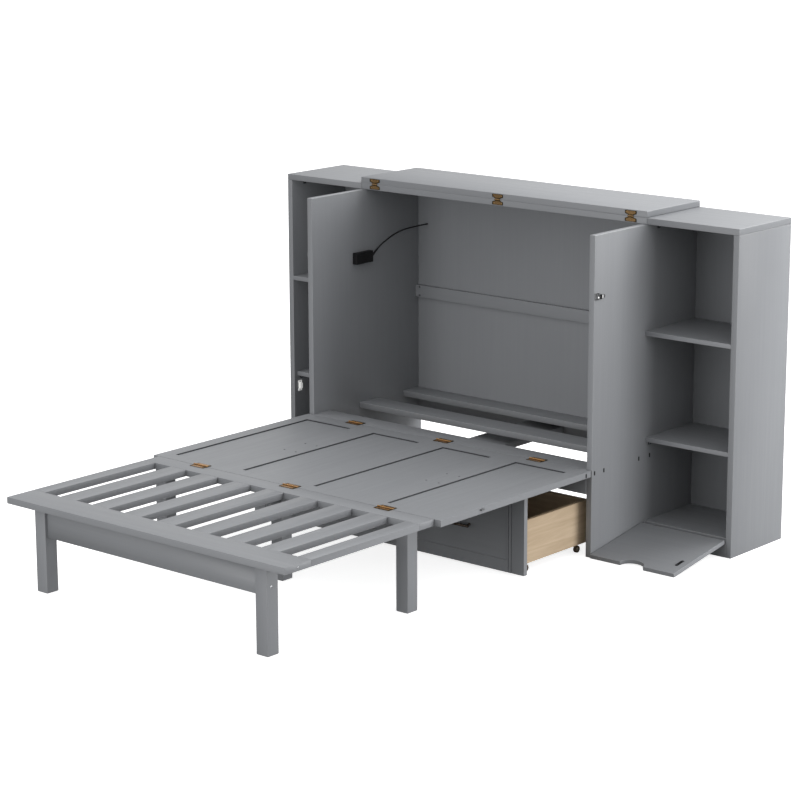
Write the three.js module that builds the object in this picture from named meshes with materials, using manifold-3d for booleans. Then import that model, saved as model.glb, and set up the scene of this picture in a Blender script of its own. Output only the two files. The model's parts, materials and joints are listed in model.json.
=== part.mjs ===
// Fold-out cabinet bed (murphy wall bed): a low wall cabinet with two shelved side units,
// a centre bay that stores the folded bed, a rolling drawer and a lid that closes the bay.
// Millimetres. +X to the right, +Y towards the wall, +Z up.
// The bed is open: the bed panel and the slatted section lie flat, the lid is folded back,
// the drawer is pulled out and both drop doors lie open.
// Every board is made JOINT_GAP smaller than its place, so boards that meet stay separate.

import * as THREE from 'three';
import { mergeVertices } from 'three/addons/utils/BufferGeometryUtils.js';
import Module from 'manifold-3d';

const wasm = await Module();
wasm.setup();

// ---------- driving dimensions ----------
const CABINET_WIDTH = 2280;
const UNIT_DEPTH = 358;
const BAY_OUTER_WIDTH = 1448;
const CABINET_HEIGHT = 1270;
const BOARD = 25;
const BACK_BOARD = 18;
const SHELF_BOARD = 18;
const PARTITION_REACH = 332;
const PLATFORM_TOP = 345;
const JOINT_GAP = 0.3;

// bed panel and slatted section
const HINGE_AXIS_LIFT = 3;
const PANEL_HINGE_Y = -337;
const FOLD_HINGE_Y = -1230;
const FOOT_EDGE_Y = -2002;
const HINGE_CLEARANCE = 1;
const SLEEPING_WIDTH = 1388;
const SIDE_RAIL_WIDTH = 61.5;
const HEAD_RAIL_DEPTH = 79;
const FOOT_RAIL_DEPTH = 130;
const SLAT_COUNT = 7;
const SLAT_WIDTH = 83;
const RECESS_COUNT = 4;
const RECESS_WIDTH = 241;
const RECESS_DEPTH = 4;
const RECESS_REAR_MARGIN = 75;
const RECESS_FRONT_MARGIN = 60;
const LEG_SIZE = 54;
const FOOT_LEG_OUTER_X = 580;
const FOOT_LEG_FRONT_Y = -1970;
const MIDDLE_LEG_OUTER_X = 635;
const MIDDLE_LEG_FRONT_Y = -1306;
const APRON_SETBACK = 11;
const APRON_HEIGHT = 109;

// boards of the fixed platform
const STRIP_DEPTH = 102;
const FRONT_SLAT_Y = [-47, 67];
const REAR_SLAT_DEPTH = 104;
const PLATFORM_APRON_DROP = 73;
const SUPPORT_WIDTH = 180;
const SUPPORT_TOP = 290.5;
const CENTRE_BACK_BOTTOM = 258;
const BACK_RAIL_Z = [744, 796];

// side units
const PLINTH_HEIGHT = 50;
const BASE_TOP = 72;
const DOOR_THICKNESS = 16;
const DOOR_LENGTH = 342;
const DOOR_HINGE_Z = 54;
const DOOR_SIDE_GAP = 2;
const FINGER_CUT_WIDTH = 105;
const FINGER_CUT_DEPTH = 36;
const LOWER_SHELF_TOP = 408;
const UPPER_SHELF_TOP = 831;

// drawer
const DRAWER_PULL = 345;
const DRAWER_FRONT_CLOSED_Y = -359;
const DRAWER_FRONT_HALF_WIDTH = 690;
const DRAWER_FRONT_THICKNESS = 20;
const DRAWER_FRONT_Z = [8, 316];
const DRAWER_BOX_HALF_WIDTH = 662;
const DRAWER_BOX_DEPTH = 422;
const DRAWER_BOX_Z = [39, 208];
const DRAWER_WALL = 15;
const HANDLE_X = 362;
const HANDLE_Z = 160;
const HANDLE_LENGTH = 160;
const HANDLE_SPACING = 128;
const WHEEL_RADIUS = 14;
const WHEEL_WIDTH = 14;
const WHEEL_X = 638;
const FRONT_WHEEL_SETBACK = 55;
const REAR_WHEEL_SETBACK = 45;

// hinges, latches, power socket
const HINGE_LENGTH = 72;
const HINGE_LEAF_DEPTH = 23;
const HINGE_LEAF_THICKNESS = 2;
const KNUCKLE_RADIUS = 2.7;
const PIN_RADIUS = 1.2;
const LATCH_Z = 1010;
const SOCKET_SIZE = [26, 120, 48];
const SOCKET_CENTRE_Y = -25;
const SOCKET_CENTRE_Z = 964;
const CORD_RADIUS = 3;
const CORD_HOLE_RADIUS = 7;
// The cord leaves the socket through a gland that points up and back.
const GLAND_ROOT = [-684, 34, 974.4];
const GLAND_RADII = [5.5, 4];
const CORD_ROUTE = [
  [-682, 52, 988.5],
  [-680, 66, 999.3],
  [-678, 80, 1008.2],
  [-676, 95, 1016.4],
  [-674.3, 110, 1023.9],
  [-672.6, 125, 1030.6],
  [-670.3, 145, 1038.6],
  [-668, 165, 1045.2],
  [-665.7, 185, 1050.2],
  [-663.4, 205, 1053.6],
  [-661.1, 225, 1055.9],
  [-658.8, 245, 1057.5],
  [-656.5, 265, 1058.8],
  [-654.3, 285, 1059.9],
  [-652, 305, 1060.8],
  [-649.8, 325, 1061.5],
  [-648.2, 342, 1062],
  [-648, 357, 1062],
];

// ---------- derived places ----------
const BAY_OUTER_X = BAY_OUTER_WIDTH / 2;
const BAY_INNER_X = BAY_OUTER_X - BOARD;
const UNIT_INNER_X = CABINET_WIDTH / 2 - BOARD;
const UNDER_TOP = CABINET_HEIGHT - BOARD;
const BACK_FACE_Y = UNIT_DEPTH - BACK_BOARD;
const PLATFORM_BOTTOM = PLATFORM_TOP - BOARD;
const HINGE_AXIS_Z = PLATFORM_TOP + HINGE_AXIS_LIFT;
const STRIP_FRONT_Y = PANEL_HINGE_Y + HINGE_CLEARANCE;
const STRIP_REAR_Y = STRIP_FRONT_Y + STRIP_DEPTH;
const PANEL_REAR_Y = PANEL_HINGE_Y - HINGE_CLEARANCE;
const PANEL_FRONT_Y = FOLD_HINGE_Y + HINGE_CLEARANCE;
const HEAD_RAIL_REAR_Y = FOLD_HINGE_Y - HINGE_CLEARANCE;
const HEAD_RAIL_FRONT_Y = HEAD_RAIL_REAR_Y - HEAD_RAIL_DEPTH;
const FOOT_RAIL_REAR_Y = FOOT_EDGE_Y + FOOT_RAIL_DEPTH;
const DRAWER_FRONT_Y = DRAWER_FRONT_CLOSED_Y - DRAWER_PULL;
const DOOR_OPEN_ANGLE = Math.PI / 2 + Math.asin((DOOR_HINGE_Z - 0.5) / (DOOR_LENGTH + 1));
const SIDES = [
  { name: 'left', sign: -1 },
  { name: 'right', sign: 1 },
];

// ---------- materials ----------
function finish(name, color, roughness, metalness = 0) {
  return new THREE.MeshStandardMaterial({ name, color, roughness, metalness });
}

const GREY_PAINT = finish('grey_paint', 0x8d9298, 0.55);
const PLYWOOD = finish('plywood', 0xc3b296, 0.7);
const BRASS = finish('brass', 0xa87c45, 0.35, 1);
const BRONZE = finish('bronze', 0x4a3a2c, 0.4, 1);
const BLACK_PLASTIC = finish('black_plastic', 0x151515, 0.5);
const STEEL = finish('steel', 0x9a9c9f, 0.35, 1);

// ---------- building blocks ----------
function toSolid(geometry) {
  const bare = geometry.clone();
  bare.deleteAttribute('normal');
  bare.deleteAttribute('uv');
  const merged = mergeVertices(bare, 1e-4);
  return new wasm.Manifold(
    new wasm.Mesh({
      numProp: 3,
      vertProperties: new Float32Array(merged.attributes.position.array),
      triVerts: new Uint32Array(merged.index.array),
    }),
  );
}

function toGeometry(solid) {
  const mesh = solid.getMesh();
  const geometry = new THREE.BufferGeometry();
  geometry.setAttribute('position', new THREE.BufferAttribute(mesh.vertProperties, 3));
  geometry.setIndex(new THREE.BufferAttribute(mesh.triVerts, 1));
  geometry.computeVertexNormals();
  return geometry;
}

function addMesh(group, name, geometry, material) {
  const mesh = new THREE.Mesh(geometry, material);
  mesh.name = name;
  group.add(mesh);
  return mesh;
}

// A box between two corners, given as [low, high] along each axis.
function block(x, y, z) {
  const geometry = new THREE.BoxGeometry(x[1] - x[0], y[1] - y[0], z[1] - z[0]);
  geometry.translate((x[0] + x[1]) / 2, (y[0] + y[1]) / 2, (z[0] + z[1]) / 2);
  return geometry;
}

// The same place with half the joint gap taken off each end, but never off the floor.
function trimmed(span) {
  const low = span[0] === 0 ? 0 : span[0] + JOINT_GAP / 2;
  return [low, span[1] - JOINT_GAP / 2];
}

function boardShape(x, y, z) {
  return block([x[0] + JOINT_GAP / 2, x[1] - JOINT_GAP / 2],
    [y[0] + JOINT_GAP / 2, y[1] - JOINT_GAP / 2], trimmed(z));
}

function addBoard(group, name, x, y, z, material = GREY_PAINT) {
  return addMesh(group, name, boardShape(x, y, z), material);
}

// A span along X on one side of the centre line.
function onSide(sign, inner, outer) {
  return sign > 0 ? [inner, outer] : [-outer, -inner];
}

// A cylinder along X.
function rodAlongX(radius, x, segments = 16) {
  const geometry = new THREE.CylinderGeometry(radius, radius, x[1] - x[0], segments);
  geometry.rotateZ(Math.PI / 2);
  geometry.translate((x[0] + x[1]) / 2, 0, 0);
  return geometry;
}

// An outline in X and Z pushed back along Y, its front face on Y = 0.
function slabInXZ(shape, thickness, curveSegments) {
  const geometry = new THREE.ExtrudeGeometry(shape, {
    depth: thickness,
    bevelEnabled: false,
    curveSegments,
  });
  geometry.rotateX(Math.PI / 2);
  geometry.translate(0, thickness, 0);
  return geometry;
}

// ---------- cabinet ----------
function addSideUnit(group, side) {
  const unitX = onSide(side.sign, BAY_OUTER_X, UNIT_INNER_X);
  const depth = [0, BACK_FACE_Y];
  addBoard(group, `${side.name}_side_panel`, onSide(side.sign, UNIT_INNER_X, CABINET_WIDTH / 2),
    [0, UNIT_DEPTH], [0, UNDER_TOP]);
  addBoard(group, `${side.name}_partition`, onSide(side.sign, BAY_INNER_X, BAY_OUTER_X),
    [-PARTITION_REACH, UNIT_DEPTH], [0, UNDER_TOP]);
  addBoard(group, `${side.name}_top_board`, onSide(side.sign, BAY_OUTER_X, CABINET_WIDTH / 2),
    [0, UNIT_DEPTH], [UNDER_TOP, CABINET_HEIGHT]);
  addBoard(group, `${side.name}_back_panel`, unitX, [BACK_FACE_Y, UNIT_DEPTH], [0, UNDER_TOP]);
  addBoard(group, `${side.name}_upper_shelf`, unitX, depth,
    [UPPER_SHELF_TOP - SHELF_BOARD, UPPER_SHELF_TOP]);
  addBoard(group, `${side.name}_lower_shelf`, unitX, [DOOR_THICKNESS + 2, BACK_FACE_Y],
    [LOWER_SHELF_TOP - SHELF_BOARD, LOWER_SHELF_TOP]);
  addMesh(group, `${side.name}_base`, baseShape(unitX), GREY_PAINT);
}

// The floor of a side unit, glued to the plinth that stands under its front edge.
function baseShape(unitX) {
  const plinth = toSolid(boardShape(unitX, [0, DOOR_THICKNESS + 6], [0, PLINTH_HEIGHT]));
  const floorBoard = toSolid(boardShape(unitX, [DOOR_THICKNESS + 2, BACK_FACE_Y],
    [BASE_TOP - BOARD, BASE_TOP]));
  return toGeometry(plinth.add(floorBoard));
}

// The centre back panel ends above the drawer bay and has a hole for the power cord.
function centreBackShape() {
  const [holeX, , holeZ] = CORD_ROUTE[CORD_ROUTE.length - 1];
  const halfWidth = BAY_INNER_X - JOINT_GAP / 2;
  const bottom = CENTRE_BACK_BOTTOM;
  const top = UNDER_TOP - JOINT_GAP / 2;
  const outline = new THREE.Shape();
  outline.moveTo(-halfWidth, bottom);
  outline.lineTo(halfWidth, bottom);
  outline.lineTo(halfWidth, top);
  outline.lineTo(-halfWidth, top);
  outline.closePath();
  const hole = new THREE.Path();
  hole.absarc(holeX, holeZ, CORD_HOLE_RADIUS, 0, Math.PI * 2, true);
  outline.holes.push(hole);
  const geometry = slabInXZ(outline, BACK_BOARD - JOINT_GAP, 10);
  geometry.translate(0, BACK_FACE_Y + JOINT_GAP / 2, 0);
  return geometry;
}

function addCentreBay(group) {
  const bayX = [-BAY_INNER_X, BAY_INNER_X];
  const platformZ = [PLATFORM_BOTTOM, PLATFORM_TOP];
  addMesh(group, 'centre_back_panel', centreBackShape(), GREY_PAINT);
  addBoard(group, 'centre_top_board', [-BAY_OUTER_X, BAY_OUTER_X], [0, UNIT_DEPTH],
    [UNDER_TOP, CABINET_HEIGHT]);
  addBoard(group, 'back_rail', bayX, [BACK_FACE_Y - BACK_BOARD, BACK_FACE_Y], BACK_RAIL_Z);
  addBoard(group, 'rear_slat', bayX, [BACK_FACE_Y - REAR_SLAT_DEPTH, BACK_FACE_Y], platformZ);
  addBoard(group, 'front_slat', bayX, FRONT_SLAT_Y, platformZ);
  addBoard(group, 'hinge_strip', bayX, [STRIP_FRONT_Y, STRIP_REAR_Y], platformZ);
  addBoard(group, 'platform_apron', bayX, [STRIP_FRONT_Y + 1, STRIP_FRONT_Y + 1 + BOARD],
    [PLATFORM_BOTTOM - PLATFORM_APRON_DROP, PLATFORM_BOTTOM]);
  addBoard(group, 'centre_support', [-SUPPORT_WIDTH / 2, SUPPORT_WIDTH / 2],
    [STRIP_FRONT_Y + 1 + BOARD, BACK_FACE_Y], [SUPPORT_TOP - BOARD, SUPPORT_TOP]);
}

function addPowerSocket(group) {
  const [thickness, length, height] = SOCKET_SIZE;
  const wallX = -BAY_INNER_X + JOINT_GAP;
  const housing = block([wallX, wallX + thickness],
    [SOCKET_CENTRE_Y - length / 2, SOCKET_CENTRE_Y + length / 2],
    [SOCKET_CENTRE_Z - height / 2, SOCKET_CENTRE_Z + height / 2]);
  const socket = toSolid(housing).add(toSolid(glandShape()));
  addMesh(group, 'power_socket', toGeometry(socket), BLACK_PLASTIC);
  addMesh(group, 'power_cord', cordShape(), BLACK_PLASTIC);
}

// A tapered sleeve from inside the socket to just short of the cord's first point.
function glandShape() {
  const root = new THREE.Vector3(...GLAND_ROOT);
  const along = new THREE.Vector3(...CORD_ROUTE[0]).sub(root);
  const length = along.length() - JOINT_GAP;
  const [rootRadius, tipRadius] = GLAND_RADII;
  const geometry = new THREE.CylinderGeometry(tipRadius, rootRadius, length, 16);
  geometry.translate(0, length / 2, 0);
  const upright = new THREE.Vector3(0, 1, 0);
  geometry.applyQuaternion(new THREE.Quaternion().setFromUnitVectors(upright, along.normalize()));
  return geometry.translate(...GLAND_ROOT);
}

function cordShape() {
  const route = new THREE.CatmullRomCurve3(CORD_ROUTE.map((point) => new THREE.Vector3(...point)));
  const section = new THREE.Shape();
  const sides = 8;
  for (let corner = 0; corner < sides; corner += 1) {
    const angle = (corner / sides) * Math.PI * 2;
    const place = [CORD_RADIUS * Math.cos(angle), CORD_RADIUS * Math.sin(angle)];
    if (corner === 0) {
      section.moveTo(...place);
    } else {
      section.lineTo(...place);
    }
  }
  section.closePath();
  return new THREE.ExtrudeGeometry(section, { steps: 40, extrudePath: route });
}

// ---------- lid ----------
function addLid(group) {
  addBoard(group, 'lid_board', [-BAY_OUTER_X, BAY_OUTER_X], [0, UNIT_DEPTH],
    [CABINET_HEIGHT, CABINET_HEIGHT + BOARD]);
}

// ---------- bed panel ----------
// One framed panel with four sunk fields on each face, like a row of cabinet doors.
function bedPanelShape() {
  let panel = toSolid(boardShape([-BAY_OUTER_X, BAY_OUTER_X], [PANEL_FRONT_Y, PANEL_REAR_Y],
    [PLATFORM_BOTTOM, PLATFORM_TOP]));
  const pitch = BAY_OUTER_WIDTH / RECESS_COUNT;
  const fieldY = [PANEL_FRONT_Y + RECESS_FRONT_MARGIN, PANEL_REAR_Y - RECESS_REAR_MARGIN];
  const fieldsZ = [
    [PLATFORM_TOP - RECESS_DEPTH, PLATFORM_TOP + 1],
    [PLATFORM_BOTTOM - 1, PLATFORM_BOTTOM + RECESS_DEPTH],
  ];
  for (let index = 0; index < RECESS_COUNT; index += 1) {
    const centre = -BAY_OUTER_X + pitch * (index + 0.5);
    for (const fieldZ of fieldsZ) {
      const fieldX = [centre - RECESS_WIDTH / 2, centre + RECESS_WIDTH / 2];
      panel = panel.subtract(toSolid(block(fieldX, fieldY, fieldZ)));
    }
  }
  return toGeometry(panel);
}

// ---------- slatted section ----------
function addSlattedSection(group) {
  const half = SLEEPING_WIDTH / 2;
  const z = [PLATFORM_BOTTOM, PLATFORM_TOP];
  const slatY = [FOOT_RAIL_REAR_Y, HEAD_RAIL_FRONT_Y];
  addBoard(group, 'head_rail', [-half, half], [HEAD_RAIL_FRONT_Y, HEAD_RAIL_REAR_Y], z);
  addBoard(group, 'foot_rail', [-half, half], [FOOT_EDGE_Y, FOOT_RAIL_REAR_Y], z);
  for (const side of SIDES) {
    addBoard(group, `${side.name}_side_rail`, onSide(side.sign, half - SIDE_RAIL_WIDTH, half),
      slatY, z);
  }
  const clearWidth = SLEEPING_WIDTH - 2 * SIDE_RAIL_WIDTH;
  const opening = (clearWidth - SLAT_COUNT * SLAT_WIDTH) / (SLAT_COUNT + 1);
  for (let index = 0; index < SLAT_COUNT; index += 1) {
    const low = -clearWidth / 2 + opening + index * (SLAT_WIDTH + opening);
    addBoard(group, `bed_slat_${index + 1}`, [low, low + SLAT_WIDTH], slatY, z);
  }
}

function addLegs(group) {
  const z = [0, PLATFORM_BOTTOM];
  const middleY = [MIDDLE_LEG_FRONT_Y, MIDDLE_LEG_FRONT_Y + LEG_SIZE];
  const footY = [FOOT_LEG_FRONT_Y, FOOT_LEG_FRONT_Y + LEG_SIZE];
  for (const side of SIDES) {
    addBoard(group, `${side.name}_middle_leg`,
      onSide(side.sign, MIDDLE_LEG_OUTER_X - LEG_SIZE, MIDDLE_LEG_OUTER_X), middleY, z);
    addBoard(group, `${side.name}_foot_leg`,
      onSide(side.sign, FOOT_LEG_OUTER_X - LEG_SIZE, FOOT_LEG_OUTER_X), footY, z);
  }
  addBoard(group, 'centre_middle_leg', [-LEG_SIZE / 2, LEG_SIZE / 2], middleY, z);
  const apronFront = FOOT_LEG_FRONT_Y + APRON_SETBACK;
  const apronHalf = FOOT_LEG_OUTER_X - LEG_SIZE;
  addBoard(group, 'foot_apron', [-apronHalf, apronHalf], [apronFront, apronFront + BOARD],
    [PLATFORM_BOTTOM - APRON_HEIGHT, PLATFORM_BOTTOM]);
}

// ---------- drop doors ----------
// The outline stands closed on its hinge line, with a finger cut in the middle of the top edge.
function doorShape(width) {
  const half = width / 2;
  const bottom = 1;
  const top = bottom + DOOR_LENGTH;
  const outline = new THREE.Shape();
  outline.moveTo(-half, bottom);
  outline.lineTo(half, bottom);
  outline.lineTo(half, top);
  outline.lineTo(FINGER_CUT_WIDTH / 2, top);
  outline.absellipse(0, top, FINGER_CUT_WIDTH / 2, FINGER_CUT_DEPTH, 0, Math.PI, true, 0);
  outline.lineTo(-half, top);
  outline.closePath();
  return slabInXZ(outline, DOOR_THICKNESS, 16);
}

function addDropDoor(group, side) {
  const inner = BAY_OUTER_X + DOOR_SIDE_GAP;
  const outer = UNIT_INNER_X - DOOR_SIDE_GAP;
  const hinge = new THREE.Group();
  hinge.position.set((side.sign * (inner + outer)) / 2, 0, DOOR_HINGE_Z);
  hinge.rotation.x = DOOR_OPEN_ANGLE;
  addMesh(hinge, `${side.name}_drop_door`, doorShape(outer - inner), GREY_PAINT);
  group.add(hinge);
}

// ---------- drawer ----------
function drawerFrontShape() {
  const half = DRAWER_FRONT_HALF_WIDTH;
  const y = [DRAWER_FRONT_Y, DRAWER_FRONT_Y + DRAWER_FRONT_THICKNESS];
  let front = toSolid(boardShape([-half, half], y, DRAWER_FRONT_Z));
  const stile = 70;
  const rail = 47;
  for (const side of SIDES) {
    const field = block(onSide(side.sign, stile / 2, half - stile),
      [y[0] - 1, y[0] + RECESS_DEPTH],
      [DRAWER_FRONT_Z[0] + rail, DRAWER_FRONT_Z[1] - rail]);
    front = front.subtract(toSolid(field));
  }
  return toGeometry(front);
}

function drawerBoxShape() {
  const frontY = DRAWER_FRONT_Y + DRAWER_FRONT_THICKNESS;
  const half = DRAWER_BOX_HALF_WIDTH;
  const outer = toSolid(boardShape([-half, half], [frontY, frontY + DRAWER_BOX_DEPTH],
    DRAWER_BOX_Z));
  const inner = toSolid(block([-half + DRAWER_WALL, half - DRAWER_WALL],
    [frontY + DRAWER_WALL, frontY + DRAWER_BOX_DEPTH - DRAWER_WALL],
    [DRAWER_BOX_Z[0] + DRAWER_WALL, DRAWER_BOX_Z[1] + 1]));
  return toGeometry(outer.subtract(inner));
}

function drawerHandleShape(centreX) {
  const faceY = DRAWER_FRONT_Y + RECESS_DEPTH - JOINT_GAP;
  const reach = 30;
  const bar = 9;
  const barY = [faceY - reach, faceY - reach + bar];
  const barZ = [HANDLE_Z - bar / 2, HANDLE_Z + bar / 2];
  let handle = toSolid(block([centreX - HANDLE_LENGTH / 2, centreX + HANDLE_LENGTH / 2],
    barY, barZ));
  for (const side of SIDES) {
    const post = new THREE.CylinderGeometry(4, 4, reach - 2, 12);
    post.translate(centreX + (side.sign * HANDLE_SPACING) / 2, faceY - (reach - 2) / 2, HANDLE_Z);
    handle = handle.add(toSolid(post));
  }
  return toGeometry(handle);
}

function addDrawer(group) {
  addMesh(group, 'drawer_front', drawerFrontShape(), GREY_PAINT);
  addMesh(group, 'drawer_box', drawerBoxShape(), PLYWOOD);
  const boxFrontY = DRAWER_FRONT_Y + DRAWER_FRONT_THICKNESS;
  const rows = [
    { name: 'front', y: boxFrontY + FRONT_WHEEL_SETBACK },
    { name: 'rear', y: boxFrontY + DRAWER_BOX_DEPTH - REAR_WHEEL_SETBACK },
  ];
  for (const side of SIDES) {
    addMesh(group, `${side.name}_drawer_handle`, drawerHandleShape(side.sign * HANDLE_X), BRONZE);
    for (const row of rows) {
      const wheel = rodAlongX(WHEEL_RADIUS, [-WHEEL_WIDTH / 2, WHEEL_WIDTH / 2], 24);
      const mesh = addMesh(group, `${row.name}_${side.name}_drawer_wheel`, wheel, BLACK_PLASTIC);
      mesh.position.set(side.sign * WHEEL_X, row.y, WHEEL_RADIUS);
    }
  }
}

// ---------- hinges ----------
// A surface hinge leaf along X, its knuckles around the origin and its plate towards +Y or -Y.
// The leaf that carries the pin has the two outer knuckles, the other has the middle one.
function hingeLeafShape(towards, carriesPin) {
  const half = HINGE_LENGTH / 2;
  const third = HINGE_LENGTH / 6;
  const bottom = -HINGE_AXIS_LIFT + JOINT_GAP;
  const plateZ = [bottom, bottom + HINGE_LEAF_THICKNESS];
  const nearY = KNUCKLE_RADIUS + JOINT_GAP;
  const plateY = towards > 0 ? [nearY, HINGE_LEAF_DEPTH] : [-HINGE_LEAF_DEPTH, -nearY];
  const tongueY = towards > 0 ? [0, nearY + 1] : [-nearY - 1, 0];
  const knuckles = carriesPin
    ? [[-half, -third - JOINT_GAP], [third + JOINT_GAP, half]]
    : [[-third, third]];
  let leaf = toSolid(block([-half, half], plateY, plateZ));
  for (const span of knuckles) {
    leaf = leaf.add(toSolid(block(span, tongueY, plateZ)));
    leaf = leaf.add(toSolid(rodAlongX(KNUCKLE_RADIUS, span)));
  }
  const pinSpan = [-half, half];
  if (carriesPin) {
    leaf = leaf.add(toSolid(rodAlongX(PIN_RADIUS, pinSpan)));
  } else {
    leaf = leaf.subtract(toSolid(rodAlongX(PIN_RADIUS + JOINT_GAP, pinSpan)));
  }
  return toGeometry(leaf);
}

function addHinge(group, name, y) {
  const rear = addMesh(group, `${name}_hinge_rear_leaf`, hingeLeafShape(1, true), BRASS);
  const front = addMesh(group, `${name}_hinge_front_leaf`, hingeLeafShape(-1, false), BRASS);
  rear.position.set(0, y, HINGE_AXIS_Z);
  front.position.set(0, y, HINGE_AXIS_Z);
}

// ---------- latches ----------
// A sliding bolt on the outer face of a partition: a flat tongue with a raised thumb block.
function latchBoltShape(sign) {
  const face = BAY_OUTER_X + JOINT_GAP;
  const tongue = toSolid(block(onSide(sign, face, face + 5), [-331, -270],
    [LATCH_Z - 6, LATCH_Z + 6]));
  const thumb = toSolid(block(onSide(sign, face + 4, face + 14), [-304, -286],
    [LATCH_Z - 9, LATCH_Z + 9]));
  return toGeometry(tongue.add(thumb));
}

// ---------- assembly ----------
function buildBed() {
  const bed = new THREE.Group();
  // The origin is on the floor under the middle of the open bed.
  bed.position.y = -(FOOT_EDGE_Y + UNIT_DEPTH) / 2;
  for (const side of SIDES) {
    addSideUnit(bed, side);
    addDropDoor(bed, side);
    addMesh(bed, `${side.name}_latch_bolt`, latchBoltShape(side.sign), STEEL);
  }
  addCentreBay(bed);
  addPowerSocket(bed);
  addLid(bed);
  addMesh(bed, 'bed_panel', bedPanelShape(), GREY_PAINT);
  addSlattedSection(bed);
  addLegs(bed);
  addDrawer(bed);
  addHinge(bed, 'panel', PANEL_HINGE_Y);
  addHinge(bed, 'fold', FOLD_HINGE_Y);
  return bed;
}

export default buildBed();
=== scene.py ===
"""Fold-out cabinet bed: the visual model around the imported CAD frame.

Metres. +X to the right seen from the foot of the bed, +Y towards the wall, +Z up.
"""
import json
import math

import bmesh
import bpy
from mathutils import Matrix, Vector


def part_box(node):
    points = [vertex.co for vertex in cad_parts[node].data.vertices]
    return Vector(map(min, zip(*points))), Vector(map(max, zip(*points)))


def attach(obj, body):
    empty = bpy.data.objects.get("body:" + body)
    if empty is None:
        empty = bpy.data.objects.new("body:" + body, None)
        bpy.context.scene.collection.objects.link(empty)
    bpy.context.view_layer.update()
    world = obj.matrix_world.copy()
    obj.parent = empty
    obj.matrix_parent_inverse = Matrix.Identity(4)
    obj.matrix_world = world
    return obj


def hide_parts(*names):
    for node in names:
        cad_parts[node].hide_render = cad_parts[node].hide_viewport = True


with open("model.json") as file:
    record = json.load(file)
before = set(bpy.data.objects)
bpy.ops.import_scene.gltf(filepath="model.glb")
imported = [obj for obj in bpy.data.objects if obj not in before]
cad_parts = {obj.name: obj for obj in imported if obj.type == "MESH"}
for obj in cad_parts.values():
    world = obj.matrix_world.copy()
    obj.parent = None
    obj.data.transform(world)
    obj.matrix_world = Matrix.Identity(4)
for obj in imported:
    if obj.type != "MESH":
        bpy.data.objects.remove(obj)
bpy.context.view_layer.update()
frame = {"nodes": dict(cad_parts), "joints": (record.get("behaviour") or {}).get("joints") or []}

# ---------- places taken from the frame ----------
SIDES = (("left", -1), ("right", 1))
JOINTS = {joint["name"]: joint for joint in frame["joints"]}
LID_AXIS = Vector(JOINTS["lid_hinge"]["pos_m"])
PANEL_AXIS = Vector(JOINTS["bed_panel_hinge"]["pos_m"])
FOLD_AXIS = Vector(JOINTS["slat_fold_hinge"]["pos_m"])
LID_AXIS_STANDOFF = 0.003
UNIT_FRONT_Y = LID_AXIS.y + LID_AXIS_STANDOFF
PARTITION_FACE_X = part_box("right_partition")[1].x
SIDE_PANEL_INNER_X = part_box("right_side_panel")[0].x
UNDER_TOP_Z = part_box("right_top_board")[0].z
PLATFORM_TOP_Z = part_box("bed_panel")[1].z
CONTACT = 0.0002
SKIN = 0.0001
MERGE_DISTANCE = 1e-6

# ---------- camera ----------
CAMERA_PLACE = (6.23633, -7.07373, 2.81734)
CAMERA_YAW, CAMERA_PITCH, CAMERA_ROLL = (math.radians(angle) for angle in (40.53, -13.24, -0.182))
CAMERA_LENS = 114.71


def add_camera():
    data = bpy.data.cameras.new("camera")
    data.lens = CAMERA_LENS
    data.sensor_width = 36.0
    camera = bpy.data.objects.new("camera", data)
    camera.matrix_world = (
        Matrix.Translation(CAMERA_PLACE)
        @ Matrix.Rotation(CAMERA_YAW, 4, "Z")
        @ Matrix.Rotation(math.pi / 2 + CAMERA_PITCH, 4, "X")
        @ Matrix.Rotation(CAMERA_ROLL, 4, "Z")
    )
    bpy.context.scene.collection.objects.link(camera)
    bpy.context.scene.camera = camera


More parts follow.
